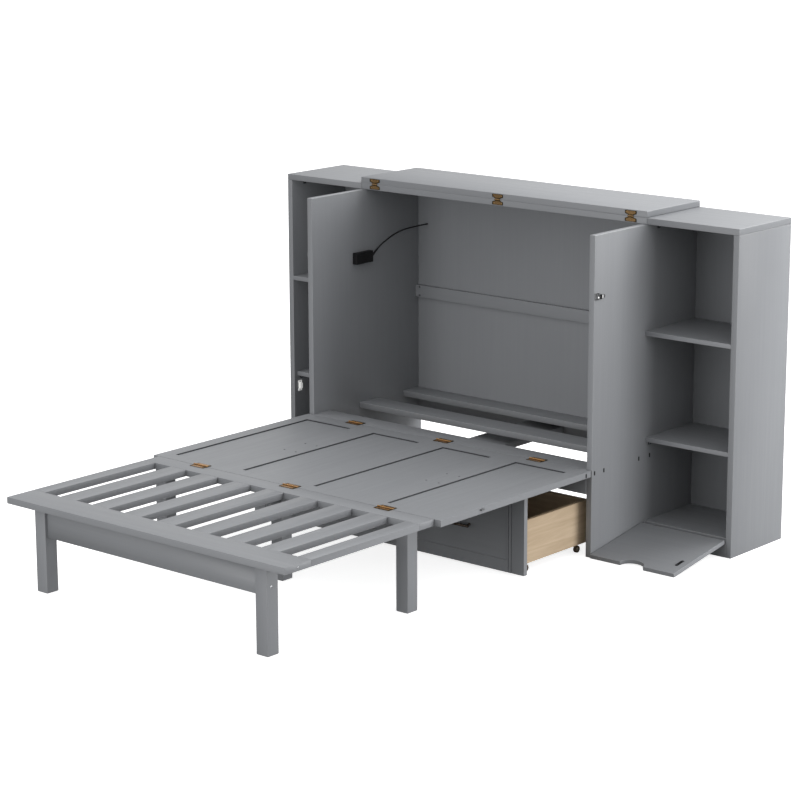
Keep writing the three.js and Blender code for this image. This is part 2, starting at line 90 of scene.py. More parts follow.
# ---------- material building ----------
class Finish:
    """A material in the making: its node tree, its shader and the object coordinates."""

    def __init__(self, name, **settings):
        self.material = bpy.data.materials.new(name)
        self.material.use_nodes = True
        self.tree = self.material.node_tree
        self.shader = self.tree.nodes["Principled BSDF"]
        self.shade(**settings)
        self.coords = self.add("TexCoord").outputs["Object"]

    def feed(self, node, inputs):
        """Sets or links a node's sockets. An underscore in a name stands for a space."""
        for name, source in inputs.items():
            socket = node.inputs[name.replace("_", " ") if isinstance(name, str) else name]
            if isinstance(source, bpy.types.NodeSocket):
                self.tree.links.new(source, socket)
            elif socket.type == "RGBA":
                socket.default_value = (*source, 1.0)
            else:
                socket.default_value = source

    def add(self, kind, **inputs):
        node = self.tree.nodes.new(f"ShaderNode{kind}")
        self.feed(node, inputs)
        return node

    def shade(self, **inputs):
        self.feed(self.shader, inputs)

    def noise(self, scale, detail=3.0, roughness=0.5, distortion=0.0, stretch=None):
        """Noise in object space. A stretch scales the space along each axis first."""
        coords = self.coords
        if stretch:
            coords = self.add("Mapping", Vector=coords, Scale=stretch).outputs["Vector"]
        return self.add("TexNoise", Vector=coords, Scale=scale, Detail=detail,
                        Roughness=roughness, Distortion=distortion).outputs["Fac"]

    def remap(self, value, low, high, new_low=0.0, new_high=1.0):
        return self.add("MapRange", Value=value, From_Min=low, From_Max=high,
                        To_Min=new_low, To_Max=new_high).outputs["Result"]

    def blend(self, factor, first, second):
        """A colour that goes from first to second. Either may be a colour or another socket."""
        mix = self.add("Mix")
        mix.data_type = "RGBA"
        self.feed(mix, {"Factor": factor, 6: first, 7: second})
        return mix.outputs[2]

    def calculate(self, operation, *terms):
        """The result of a Math node. Each term is a number or another socket."""
        node = self.add("Math")
        node.operation = operation
        self.feed(node, dict(enumerate(terms)))
        return node.outputs[0]

    def bump(self, height, strength, distance):
        """Adds a bump on top of the ones that the shader has."""
        bump = self.add("Bump", Height=height, Strength=strength, Distance=distance)
        for link in self.shader.inputs["Normal"].links:
            self.feed(bump, {"Normal": link.from_socket})
        self.shade(Normal=bump.outputs["Normal"])


def along_axis(axis, along, across):
    """A scale that is small along the grain and large across it."""
    return tuple(along if index == axis else across for index in range(3))


# ---------- materials ----------
PAINT_LIGHT = (0.259, 0.267, 0.281)
PAINT_DARK = (0.248, 0.256, 0.270)
# Rounded edges wear a lighter paint: a painted highlight.
EDGE_HIGHLIGHT_LIGHT = (0.315, 0.323, 0.336)
EDGE_HIGHLIGHT_DARK = (0.272, 0.280, 0.293)
PLY_LIGHT = (0.60, 0.475, 0.335)
PLY_DARK = (0.47, 0.355, 0.235)
PLY_LAYER_PAIR = 0.0030


def make_paint(name, axis, light=PAINT_LIGHT, dark=PAINT_DARK, gloss=0.0):
    """Satin paint: the brush follows the board, and the grain shows faintly through."""
    paint = Finish(name, Specular_IOR_Level=0.42)
    grain = paint.noise(1.0, 5.0, 0.6, 0.4, stretch=along_axis(axis, 2.2, 70.0))
    strokes = paint.noise(1.0, 2.0, stretch=along_axis(axis, 9.0, 620.0))
    cloud = paint.noise(2.6, 3.0, 0.55)
    tone = paint.blend(paint.remap(grain, 0.3, 0.7), dark, light)
    soft = tuple(channel * 0.955 for channel in dark)
    paint.shade(Base_Color=paint.blend(paint.remap(cloud, 0.42, 0.75, 0.0, 0.55), tone, soft),
                Roughness=paint.remap(grain, 0.25, 0.75, 0.5 - gloss, 0.4 - gloss))
    paint.bump(grain, 0.10, 0.0003)
    paint.bump(strokes, 0.08, 0.00010)
    paint.bump(paint.noise(950.0, 2.0), 0.07, 0.00012)
    return paint.material


def make_plywood(name, axis):
    """The face of a birch sheet with long grain, a few darker streaks and small pores."""
    sheet = Finish(name, Specular_IOR_Level=0.35)
    rings = sheet.noise(1.0, 4.0, 0.55, 1.2, stretch=along_axis(axis, 1.6, 26.0))
    fibres = sheet.noise(1.0, 4.0, 0.6, stretch=along_axis(axis, 14.0, 520.0))
    colour = sheet.blend(sheet.remap(rings, 0.35, 0.68), PLY_LIGHT, PLY_DARK)
    streaks = sheet.remap(fibres, 0.5, 0.8, 0.0, 0.45)
    sheet.shade(Base_Color=sheet.blend(streaks, colour, (0.36, 0.25, 0.15)),
                Roughness=sheet.remap(fibres, 0.3, 0.7, 0.62, 0.48))
    sheet.bump(fibres, 0.25, 0.0003)
    return sheet.material


def make_ply_edge(name, axis):
    """The cut edge of a sheet: thin layers across its thickness, dark where the grain ends."""
    edge = Finish(name, Specular_IOR_Level=0.3, Roughness=0.75)
    across = edge.add("SeparateXYZ", Vector=edge.coords).outputs[axis]
    wavy = edge.calculate("MULTIPLY_ADD", edge.noise(30.0, 2.0), 0.0006, across)
    turns = edge.calculate("MULTIPLY", wavy, math.tau / PLY_LAYER_PAIR)
    layers = edge.remap(edge.calculate("SINE", turns), -0.35, 0.35)
    colour = edge.blend(layers, (0.33, 0.225, 0.13), (0.57, 0.44, 0.30))
    specks = edge.noise(900.0, 3.0)
    edge.shade(Base_Color=edge.blend(edge.remap(specks, 0.5, 0.8, 0.0, 0.6), colour, (0.26, 0.17, 0.1)))
    edge.bump(specks, 0.3, 0.0003)
    return edge.material


def make_metal(name, bright, dark, patina, roughness):
    """Plated metal: dark patches of patina, fine scratches and uneven gloss."""
    metal = Finish(name, Metallic=1.0)
    patches = metal.noise(190.0, 5.0, 0.62)
    scratches = metal.noise(1.0, 2.0, stretch=along_axis(0, 60.0, 2600.0))
    aged = metal.remap(patches, 0.5 - patina, 0.78 - patina)
    metal.shade(Base_Color=metal.blend(aged, bright, dark),
                Roughness=metal.remap(patches, 0.3, 0.7, roughness - 0.07, roughness + 0.12))
    metal.bump(scratches, 0.12, 0.00008)
    return metal.material


def make_aged_brass(name, bright, dark):
    """Brass that is worn bright on its raised parts. The patina attribute says where it is dark."""
    # Brass, bright in the middle; the patina attribute darkens the rim, as patina and as painted shade.
    brass = Finish(name, Metallic=1.0)
    rim_darkness = brass.add("Attribute")
    rim_darkness.attribute_name = "patina"
    patches = brass.remap(brass.noise(240.0, 4.0, 0.6), 0.3, 0.7, -0.25, 0.35)
    aged = brass.remap(brass.calculate("ADD", rim_darkness.outputs["Fac"], patches), 0.1, 1.0)
    brass.shade(Base_Color=brass.blend(aged, bright, dark),
                Roughness=brass.remap(aged, 0.0, 1.0, 0.27, 0.46))
    brass.bump(brass.noise(1.0, 2.0, stretch=along_axis(0, 60.0, 2600.0)), 0.10, 0.00008)
    return brass.material


def make_moulded(name, light, dark, roughness, grit=1400.0, painted_glow=0.0):
    """Moulded plastic or rubber with a fine spark-eroded texture."""
    plastic = Finish(name, Specular_IOR_Level=0.32)
    texture = plastic.noise(grit, 3.0, 0.6)
    cloud = plastic.noise(45.0, 3.0)
    plastic.shade(Base_Color=plastic.blend(plastic.remap(cloud, 0.35, 0.7), light, dark),
                  Roughness=plastic.remap(texture, 0.3, 0.7, roughness - 0.06, roughness + 0.08))
    plastic.bump(texture, 0.2, 0.00012)
    # A painted glow: the plastic shines a little though it is no lamp.
    if painted_glow:
        plastic.shade(Emission_Color=(1.0, 1.0, 0.98), Emission_Strength=painted_glow)
    return plastic.material


def for_each_axis(make, name, *settings):
    """The same material three times, with its grain along X, Y and Z."""
    return [make(f"{name}_{label}", axis, *settings) for axis, label in enumerate("xyz")]


PAINT = for_each_axis(make_paint, "grey_paint")
# A lighter, glossier copy of the paint for rounded edges: a painted highlight.
EDGE_HIGHLIGHT_PAINT = for_each_axis(make_paint, "edge_highlight_paint", EDGE_HIGHLIGHT_LIGHT, EDGE_HIGHLIGHT_DARK, 0.06)
# Near-black paint on the walls and grooves of sunk fields: painted shade.
RECESS_SHADE_PAINT = make_paint("recess_shade_paint", 1, (0.070, 0.073, 0.079), (0.056, 0.059, 0.064))
PLYWOOD = for_each_axis(make_plywood, "plywood")
PLY_EDGE = for_each_axis(make_ply_edge, "ply_edge")
# The door catches wear a white plastic that glows a little: painted highlight and painted glow.
GLOWING_WHITE_PLASTIC = make_moulded("glowing_white_plastic", (0.90, 0.90, 0.88), (0.84, 0.84, 0.82), 0.4, painted_glow=0.30)

# A look is the name of a slot in the record and the materials that a piece wears in it.
# Painted boards wear the paint, and on their rounded edges a lighter paint as painted highlight.
PAINTED = [("grey_paint", *pair) for pair in zip(PAINT, EDGE_HIGHLIGHT_PAINT)]
BRASS = ("brass", make_aged_brass("antique_brass", (0.50, 0.28, 0.115), (0.045, 0.032, 0.014)))
LID_BRASS = ("brass", make_aged_brass("dark_antique_brass", (0.36, 0.225, 0.105),
                                      (0.030, 0.023, 0.011)))
BRONZE = ("bronze", make_metal("dark_bronze", (0.105, 0.082, 0.064), (0.036, 0.029, 0.024), 0.0, 0.27))
# Near-white, brighter than nickel: partly the metal's own colour, partly a painted highlight.
NICKEL = ("steel", make_metal("bright_nickel", (0.93, 0.93, 0.92), (0.80, 0.80, 0.80), -0.05, 0.55))
ZINC = ("steel", make_metal("zinc_plate", (0.62, 0.63, 0.65), (0.34, 0.35, 0.37), -0.03, 0.30))
DARK_STEEL = ("steel", make_metal("dark_steel", (0.13, 0.135, 0.14), (0.06, 0.062, 0.066), 0.0, 0.38))
LATCH_STEEL = ("steel", make_metal("latch_steel", (0.25, 0.255, 0.26), (0.17, 0.175, 0.18), 0.0, 0.42))
BLACK_PLASTIC = ("black_plastic", make_moulded("black_plastic", (0.006, 0.006, 0.0065),
                                               (0.004, 0.004, 0.0045), 0.5))
CORD_JACKET = ("black_plastic", make_moulded("cord_jacket", (0.008, 0.008, 0.0085),
                                             (0.005, 0.005, 0.0055), 0.55, 2200.0))
HUB_PLASTIC = ("black_plastic", make_moulded("wheel_hub_plastic", (0.42, 0.37, 0.29),
                                             (0.32, 0.28, 0.22), 0.5, 900.0))
WHEEL_PLASTIC = ("wheel_rubber", make_moulded("wheel_plastic", (0.165, 0.120, 0.082),
                                              (0.100, 0.074, 0.052), 0.45, 700.0))


# ---------- mesh building ----------
def finish_piece(name, bm, body, look, bevel=0.0, segments=2, sharp=35.0, replaced=None):
    """Turns a bmesh into a piece that rides on a CAD body, with rounded edges if asked."""
    bmesh.ops.recalc_face_normals(bm, faces=bm.faces)
    mesh = bpy.data.meshes.new(name)
    bm.to_mesh(mesh)
    bm.free()
    slot, *materials = look
    for material in materials:
        mesh.materials.append(material)
    piece = bpy.data.objects.new(name, mesh)
    bpy.context.scene.collection.objects.link(piece)
    mesh.shade_smooth()
    if bevel:
        round_edges(piece, bevel, segments)
    else:
        mesh.set_sharp_from_angle(angle=math.radians(sharp))
    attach(piece, body)
    if replaced:
        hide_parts(replaced)
    return piece


def round_edges(piece, width, segments=2, edge_material=-1):
    bevel = piece.modifiers.new("rounded_edges", "BEVEL")
    bevel.width = width
    bevel.segments = segments
    bevel.limit_method = "ANGLE"
    bevel.angle_limit = math.radians(30)
    bevel.harden_normals = True
    bevel.material = edge_material


def about(centre, size):
    """The span of a size about a centre."""
    return centre - size / 2, centre + size / 2


def spanned(x, y, z, sign=1):
    """The low and high corners of a box from its spans. A sign of -1 mirrors it to the left."""
    xs = sorted(sign * value for value in x)
    return (xs[0], y[0], z[0]), (xs[1], y[1], z[1])


def add_box(bm, corners, place=None):
    """A box of six quads between two corners. Returns its faces as -X, +X, -Y, +Y, -Z, +Z."""
    xs, ys, zs = zip(*corners)
    verts = [bm.verts.new((x, y, z)) for x in xs for y in ys for z in zs]
    quads = ((0, 1, 3, 2), (4, 6, 7, 5), (0, 4, 5, 1), (2, 3, 7, 6), (0, 2, 6, 4), (1, 5, 7, 3))
    if place is not None:
        bmesh.ops.transform(bm, matrix=place, verts=verts)
    return [bm.faces.new([verts[index] for index in quad]) for quad in quads]


def box_mesh(*corner_pairs):
    """A mesh of separate boxes."""
    bm = bmesh.new()
    for corners in corner_pairs:
        add_box(bm, corners)
    return bm


def aimed(point, direction):
    """A frame at a point with its Z along a direction."""
    turn = Vector(direction).to_track_quat("Z", "Y").to_matrix().to_4x4()
    return Matrix.Translation(point) @ turn


def framed(point, x_axis, z_axis):
    """A frame at a point from the directions of its X and its Z."""
    x_axis, z_axis = Vector(x_axis), Vector(z_axis)
    columns = Matrix((x_axis, z_axis.cross(x_axis), z_axis)).transposed()
    return Matrix.Translation(point) @ columns.to_4x4()


def arc(radius, start, sweep, steps):
    """Points on an arc round the origin, both ends included."""
    angles = [start + sweep * step / steps for step in range(steps + 1)]
    return [(radius * math.cos(angle), radius * math.sin(angle)) for angle in angles]


def mirrored(profile):
    """A lathe profile followed by its mirror image."""
    return [*profile, *((radius, -height) for radius, height in reversed(profile))]


def rounded_rectangle(width, height, radius, steps=4):
    """The outline of a rectangle round the origin, with round corners."""
    points = []
    for quarter, (sx, sy) in enumerate(((1, 1), (-1, 1), (-1, -1), (1, -1))):
        points += [(sx * (width / 2 - radius) + x, sy * (height / 2 - radius) + y)
                   for x, y in arc(radius, math.pi / 2 * quarter, math.pi / 2, steps)]
    return points


def bridge(bm, rings, caps=False):
    """Faces from each ring to the next, which may be a single vertex. Returns them."""
    walls = []
    for first, second in zip(rings, rings[1:]):
        count = max(len(first), len(second))
        for step in range(count):
            following = (step + 1) % count
            corners = [first[step % len(first)], first[following % len(first)],
                       second[following % len(second)], second[step % len(second)]]
            walls.append(bm.faces.new(list(dict.fromkeys(corners))))
    if caps:
        bm.faces.new(rings[0])
        bm.faces.new(rings[-1])
    return walls


def add_lathe(bm, profile, centre, direction, segments=24, closed=False):
    """A turned shape from (radius, height) pairs. A closed one ends in its first ring."""
    place = aimed(centre, direction)
    rings = []
    for radius, height in profile:
        points = arc(radius, 0.0, math.tau, segments)[:-1] if radius else [(0.0, 0.0)]
        rings.append([bm.verts.new(place @ Vector((x, y, height))) for x, y in points])
    if closed:
        rings.append(rings[0])
    bridge(bm, rings)


def add_prism(bm, outline, thickness, place):
    """A flat outline in X and Y, pushed up along Z and then placed."""
    bridge(bm, [[bm.verts.new(place @ Vector((x, y, z))) for x, y in outline]
                for z in (0.0, thickness)], caps=True)


CROSS_ARM, CROSS_HALF_WIDTH = 0.52, 0.13
DOME = ((1.0, 0.0), (1.0, 0.35), (0.88, 0.72), (0.66, 1.0))


def add_screw(bm, centre, direction, radius, height):
    """A domed screw head with a cross recess, sitting on a face."""
    place = aimed(centre, direction)
    arm, half = CROSS_ARM, CROSS_HALF_WIDTH
    cross = []
    for quarter in range(4):
        turn = Matrix.Rotation(math.pi / 2 * quarter, 2)
        corners = [Vector(point) for point in ((arm, -half), (arm, half), (half, half), (half, arm))]
        for start, end in zip(corners, corners[1:]):
            cross.append(turn @ start)
            cross.append(turn @ ((start + end) / 2))
    levels = [([point.normalized() * size for point in cross], level) for size, level in DOME]
    levels += [(cross, 1.0), ([point * 0.72 for point in cross], -0.1)]
    bridge(bm, [[bm.verts.new(place @ Vector((*(point * radius), level * height))) for point in points]
                for points, level in levels], caps=True)


def add_screws(name, body, look, heads, radius=0.0040, height=0.0011, sink=0.0004):
    """One piece of several screws. Heads are (place on a face, direction out of it) pairs."""
    bm = bmesh.new()
    for place, direction in heads:
        add_screw(bm, Vector(place) - Vector(direction) * sink, direction, radius, height)
    finish_piece(name, bm, body, look)


def add_tube(bm, points, radii, sides=20):
    """A tube along points with a radius at each, closed at both ends."""
    rings = []
    for index, (point, radius) in enumerate(zip(points, radii)):
        before = points[max(index - 1, 0)]
        after = points[min(index + 1, len(points) - 1)]
        tangent = (after - before).normalized()
        side = tangent.cross(Vector((1, 0, 0))).normalized()
        over = side.cross(tangent)
        rings.append([bm.verts.new(point + x * side + y * over)
                      for x, y in arc(radius, 0.0, math.tau, sides)[:-1]])
    bridge(bm, rings, caps=True)


add_camera()

# ---------- power socket and its cord ----------
CORD_RADIUS = 0.003
CORD_ROUTE = [
    (-0.682, 0.874, 0.9885), (-0.680, 0.888, 0.9993), (-0.678, 0.902, 1.0082),
    (-0.676, 0.917, 1.0164), (-0.6743, 0.932, 1.0239), (-0.6726, 0.947, 1.0306),
    (-0.6703, 0.967, 1.0386), (-0.668, 0.987, 1.0452), (-0.6657, 1.007, 1.0502),
    (-0.6634, 1.027, 1.0536), (-0.6611, 1.047, 1.0559), (-0.6588, 1.067, 1.0575),
    (-0.6565, 1.087, 1.0588), (-0.6543, 1.107, 1.0599), (-0.652, 1.127, 1.0608),
    (-0.6498, 1.147, 1.0615), (-0.6482, 1.164, 1.062), (-0.648, 1.179, 1.062),
]
GLAND_ROOT = (-0.684, 0.843, 0.9642)
GLAND_STEPS = 12
GLAND_RADIUS, GLAND_TAPER, GLAND_RIB = 0.0055, 0.0017, 0.0006
SOCKET_SIZE = (0.026, 0.104, 0.048)
FACE_PLATE_SIZE = (0.096, 0.040)
FACE_PLATE_THICKNESS = 0.0011
OUTLET_PROFILE = ((0.0150, 0.0), (0.0150, 0.0010), (0.0138, 0.0010), (0.0132, -0.0004), (0.0, -0.0004))
OUTLET_PLACES = (0.0225, 0.0575)
# Each slot of an outlet: its place along Y and Z, then its width and height.
OUTLET_SLOTS = ((-0.0055, 0.002, 0.0018, 0.0070), (0.0055, 0.002, 0.0018, 0.0080),
                (0.0, -0.0075, 0.0042, 0.0036))
CHARGING_PORT_Y = (0.082, 0.095)
CHARGING_PORT_HEIGHT, CHARGING_PORT_PITCH = 0.007, 0.016
GROMMET_PROFILE = ((0.0032, 0.004), (0.0032, -0.0004), (0.0036, -0.0008), (0.0080, -0.0006),
                   (0.0086, -0.0002), (0.0086, 0.0), (0.0060, 0.0), (0.0060, 0.004))


def smooth_route(points, steps):
    """Points on a Catmull-Rom curve through the route."""
    points = [Vector(point) for point in points]
    ends = [2 * points[0] - points[1], *points, 2 * points[-1] - points[-2]]
    smooth = []
    for index in range(1, len(ends) - 2):
        a, b, c, d = ends[index - 1:index + 3]
        for step in range(steps):
            t = step / steps
            smooth.append(0.5 * (2 * b + (c - a) * t + (2 * a - 5 * b + 4 * c - d) * t ** 2
                                 + (3 * b - a - 3 * c + d) * t ** 3))
    return [*smooth, points[-1]]


def add_cord():
    path = smooth_route(CORD_ROUTE, 4)
    bm = bmesh.new()
    add_tube(bm, path, [CORD_RADIUS] * len(path))
    cord = finish_piece("power_cord_jacket", bm, "cabinet", CORD_JACKET, sharp=60, replaced="power_cord")


def add_socket():
    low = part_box("power_socket")[0]
    high = low + Vector(SOCKET_SIZE)
    centre_z = (low.z + high.z) / 2
    back_of_plate = high.x - FACE_PLATE_THICKNESS
    finish_piece("power_socket_housing", box_mesh((low, (back_of_plate - SKIN, high.y, high.z))),
                 "cabinet", BLACK_PLASTIC, bevel=0.003, segments=4, replaced="power_socket")
    bm = bmesh.new()
    add_prism(bm, rounded_rectangle(*FACE_PLATE_SIZE, 0.003), FACE_PLATE_THICKNESS,
              aimed((back_of_plate, (low.y + high.y) / 2, centre_z), (1, 0, 0)))
    finish_piece("power_socket_face", bm, "cabinet", CORD_JACKET, bevel=0.0004)
    add_socket_openings(high.x, low.y, centre_z)


def add_socket_openings(face_x, start_y, centre_z):
    """Two mains outlets and two charging ports: raised rims, and black boxes in the openings as painted
    shade.
    """
    bm = bmesh.new()
    for offset in OUTLET_PLACES:
        centre_y = start_y + offset
        add_lathe(bm, OUTLET_PROFILE, (face_x - 0.0004, centre_y, centre_z), (1, 0, 0), 36)
        for dy, dz, width, height in OUTLET_SLOTS:
            add_box(bm, spanned((face_x - 0.0006, face_x + 0.0002), about(centre_y + dy, width),
                                about(centre_z + dz, height)))
    port_y = [start_y + y for y in CHARGING_PORT_Y]
    for z in about(centre_z, CHARGING_PORT_PITCH):
        add_box(bm, spanned((face_x - 0.0006, face_x + 0.0003), port_y, about(z, CHARGING_PORT_HEIGHT)))
    finish_piece("power_socket_outlets", bm, "cabinet", BLACK_PLASTIC)


def add_strain_relief():
    """A tapered sleeve with raised rings, from inside the housing to where the cord is free."""
    root, tip = Vector(GLAND_ROOT), Vector(CORD_ROUTE[0])
    shares = [step / GLAND_STEPS for step in range(GLAND_STEPS + 1)]
    radii = [GLAND_RADIUS - GLAND_TAPER * share - GLAND_RIB * (step % 2)
             for step, share in enumerate(shares)]
    bm = bmesh.new()
    add_tube(bm, [root.lerp(tip, share) for share in shares], radii)
    finish_piece("cord_strain_relief", bm, "cabinet", CORD_JACKET, sharp=60)


def add_cord_grommet():
    hole = Vector(CORD_ROUTE[-1])
    face_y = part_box("centre_back_panel")[0].y
    bm = bmesh.new()
    add_lathe(bm, GROMMET_PROFILE, (hole.x, face_y - CONTACT, hole.z), (0, 1, 0), 32, closed=True)
    finish_piece("cord_grommet", bm, "cabinet", ("grey_paint", PAINT[2]))


add_cord()
add_socket()
add_strain_relief()
add_cord_grommet()

# ---------- boards carried over from CAD ----------
def both(*boards):
    """The names of the left and right ones of some boards."""
    return [f"{side}_{board}" for side, _ in SIDES for board in boards]


GRAIN_X = (*both("top_board", "upper_shelf", "lower_shelf"), "centre_top_board", "back_rail",
           "rear_slat", "front_slat", "hinge_strip", "platform_apron", "lid_board", "head_rail",
           "foot_rail", "foot_apron")
GRAIN_Y = (*both("side_rail"), "centre_support", *(f"bed_slat_{number}" for number in range(1, 8)))
GRAIN_Z = (*both("side_panel", "partition", "back_panel", "middle_leg", "foot_leg"),
           "centre_back_panel", "centre_middle_leg")
EDGE_RADIUS = 0.0014
LEG_EDGE_RADIUS = 0.0030
SLAT_EDGE_RADIUS = 0.0022
CLOSE_JOINTS = {"hinge_strip": 0.0003, "head_rail": 0.0003, "left_side_rail": 0.0006,
                "right_side_rail": 0.0006, "foot_rail": 0.0008, "lid_board": 0.0024,
                "centre_top_board": 0.0024}
# The material index of the lighter edge paint, a painted highlight.
EDGE_HIGHLIGHT_INDEX = 1


def dress_board(node, axis):
    """Paints a CAD board and rounds its edges, where a lighter paint is a painted highlight.

    Boards that meet in a close joint have their own radius and no painted highlight on their edges. The
    centre back panel stays flat shaded, because smooth shading would streak from its cord hole.
    """
    board = frame["nodes"][node]
    board.data.materials.clear()
    board.data.materials.append(PAINT[axis])
    board.data.materials.append(EDGE_HIGHLIGHT_PAINT[axis])
    if node == "centre_back_panel":
        board.data.shade_flat()
        return
    board.data.shade_smooth()
    weld = board.modifiers.new("one_skin", "WELD")
    weld.merge_threshold = 0.00002
    if node in CLOSE_JOINTS:
        round_edges(board, CLOSE_JOINTS[node], 3)
    elif "leg" in node:
        round_edges(board, LEG_EDGE_RADIUS, 3, EDGE_HIGHLIGHT_INDEX)
    elif "bed_slat" in node:
        round_edges(board, SLAT_EDGE_RADIUS, 3, EDGE_HIGHLIGHT_INDEX)
    else:
        round_edges(board, EDGE_RADIUS, 3, EDGE_HIGHLIGHT_INDEX)


for axis, nodes in enumerate((GRAIN_X, GRAIN_Y, GRAIN_Z)):
    for node in nodes:
        dress_board(node, axis)


# ---------- panels with sunk fields ----------
def add_sunk_slab(bm, low, high, fields, both_faces):
    """A slab in X and Y with sunk fields in its top face, and its bottom face too if asked.

    A field is (x0, x1, y0, y1, profile, paints). The profile is (inset, depth) pairs from the
    face to the floor. The paints are the material indices of its walls and of its floor.
    """
    xs = sorted({low[0], high[0], *(edge for field in fields for edge in field[0:2])})
    ys = sorted({low[1], high[1], *(edge for field in fields for edge in field[2:4])})
    for z, inward in ((high[2], -1), (low[2], 1)):
        for x0, x1 in zip(xs, xs[1:]):
            for y0, y1 in zip(ys, ys[1:]):
                x, y = (x0 + x1) / 2, (y0 + y1) / 2
                profile, paints = ((0.0, 0.0),), (0, 0)
                for field in fields:
                    inside = field[0] < x < field[1] and field[2] < y < field[3]
                    if inside and (inward < 0 or both_faces):
                        profile, paints = field[4:]
                rings = [[bm.verts.new((*corner, z + inward * depth)) for corner in (
                    (x0 + inset, y0 + inset), (x1 - inset, y0 + inset),
                    (x1 - inset, y1 - inset), (x0 + inset, y1 - inset))]
                    for inset, depth in profile]
                for wall in bridge(bm, rings):
                    wall.material_index = paints[0]
                bm.faces.new(rings[-1]).material_index = paints[1]
    strips = [((x, y0), (x, y1)) for x in (low[0], high[0]) for y0, y1 in zip(ys, ys[1:])]
    strips += [((x0, y), (x1, y)) for y in (low[1], high[1]) for x0, x1 in zip(xs, xs[1:])]
    for start, end in strips:
        bm.faces.new([bm.verts.new(corner) for corner in (
            (*start, low[2]), (*end, low[2]), (*end, high[2]), (*start, high[2]))])
    bmesh.ops.remove_doubles(bm, verts=bm.verts, dist=MERGE_DISTANCE)


FIELD_COUNT = 4
FIELD_WIDTH = 0.241
FIELD_FRONT_MARGIN = 0.060
FIELD_REAR_MARGIN = 0.075
FIELD_DEPTH = 0.004
FIELD_PROFILE = ((0.0, 0.0), (0.0, 0.009), (0.0048, 0.009), (0.0048, FIELD_DEPTH))
DRAWER_PROFILE = ((0.0, 0.0), (0.0012, FIELD_DEPTH))
DRAWER_STILE, DRAWER_RAIL = 0.080, 0.047
LINE_PROFILE = ((0.0, 0.0), (0.0003, 0.0024))
LINE_PLACES = (0.616, 0.630)
LINE_WIDTH = 0.0019
LINE_MARGIN = 0.003


def add_bed_panel():
    """A slab with four fields on each face. Painted shade darkens their walls and the grooves at their
    feet.
    """
    low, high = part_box("bed_panel")
    pitch = (high.x - low.x) / FIELD_COUNT
    fields = []
    for index in range(FIELD_COUNT):
        fields.append((*about(low.x + pitch * (index + 0.5), FIELD_WIDTH), low.y + FIELD_FRONT_MARGIN,
                       high.y - FIELD_REAR_MARGIN, FIELD_PROFILE, (1, 0)))
    bm = bmesh.new()
    add_sunk_slab(bm, low, high, fields, True)
    panel = finish_piece("bed_panel_slab", bm, "bed_panel_body",
                         ("grey_paint", PAINT[1], RECESS_SHADE_PAINT), replaced="bed_panel")
    round_edges(panel, 0.0003)


def add_drawer_front():
    """Two shallow fields, and two upright grooves in each outer stile, darkened with painted shade."""
    low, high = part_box("drawer_front")
    height = (low.z + DRAWER_RAIL, high.z - DRAWER_RAIL, DRAWER_PROFILE, (0, 0))
    fields = [(low.x + DRAWER_STILE, -DRAWER_STILE / 2, *height),
              (DRAWER_STILE / 2, high.x - DRAWER_STILE, *height)]
    for x in (*LINE_PLACES, *(-place for place in LINE_PLACES)):
        fields.append((*about(x, LINE_WIDTH), low.z + LINE_MARGIN, high.z - LINE_MARGIN,
                       LINE_PROFILE, (1, 1)))
    bm = bmesh.new()
    add_sunk_slab(bm, (low.x, low.z, 0), (high.x, high.z, high.y - low.y), fields, False)
    bmesh.ops.transform(bm, matrix=framed((0, high.y, 0), (1, 0, 0), (0, -1, 0)), verts=bm.verts)
    front = finish_piece("drawer_front_panel", bm, "drawer",
                         ("grey_paint", PAINT[0], RECESS_SHADE_PAINT), replaced="drawer_front")
    round_edges(front, 0.0006)


add_bed_panel()
add_drawer_front()

# ---------- drawer ----------
DRAWER_WALL = 0.015
DRAWER_BOTTOM = (0.0042, 0.0132)
WALL_SCREW_INSET = 0.045


def add_sheet(name, low, high, grain, thin, bevel=0.001, replaced=None):
    """A plywood sheet. Grain and thin are the axes of its grain and of its thickness."""
    bm = bmesh.new()
    for index, face in enumerate(add_box(bm, (low, high))):
        face.material_index = int(index // 2 != thin)
    finish_piece(name, bm, "drawer", ("plywood", PLYWOOD[grain], PLY_EDGE[thin]), bevel,
                 replaced=replaced)


def add_drawer_walls():
    """Two long walls, two short ones and a bottom sheet let into them."""
    low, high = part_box("drawer_box")
    for side, sign in SIDES:
        corners = spanned((high.x - DRAWER_WALL, high.x), (low.y, high.y), (low.z, high.z), sign)
        add_sheet(f"drawer_{side}_wall", *corners, 1, 0, replaced="drawer_box" if sign < 0 else None)
    inner = high.x - DRAWER_WALL - CONTACT
    for name, y in (("front", low.y), ("back", high.y - DRAWER_WALL)):
        add_sheet(f"drawer_{name}_wall", (-inner, y, low.z), (inner, y + DRAWER_WALL, high.z), 0, 1)
    add_sheet("drawer_bottom", (-inner, low.y + DRAWER_WALL + CONTACT, low.z + DRAWER_BOTTOM[0]),
              (inner, high.y - DRAWER_WALL - CONTACT, low.z + DRAWER_BOTTOM[1]), 0, 2, 0.0006)


def add_drawer_wall_screws():
    """Two screws through each long wall at each corner, into the ends of the short ones."""
    low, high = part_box("drawer_box")
    for side, sign in SIDES:
        heads = [((sign * high.x, y, z), (sign, 0, 0))
                 for y in (low.y + DRAWER_WALL / 2, high.y - DRAWER_WALL / 2)
                 for z in (low.z + WALL_SCREW_INSET, high.z - WALL_SCREW_INSET)]
        add_screws(f"drawer_{side}_wall_screws", "drawer", ZINC, heads, 0.0036, 0.0009, 0.0008)


add_drawer_walls()
add_drawer_wall_screws()

# ---------- handles ----------
HANDLE_LENGTH = 0.160
HANDLE_SPACING = 0.128
HANDLE_REACH = 0.030
HANDLE_BAR = 0.0090
HANDLE_END, HANDLE_END_SIZE = 0.0015, 0.72


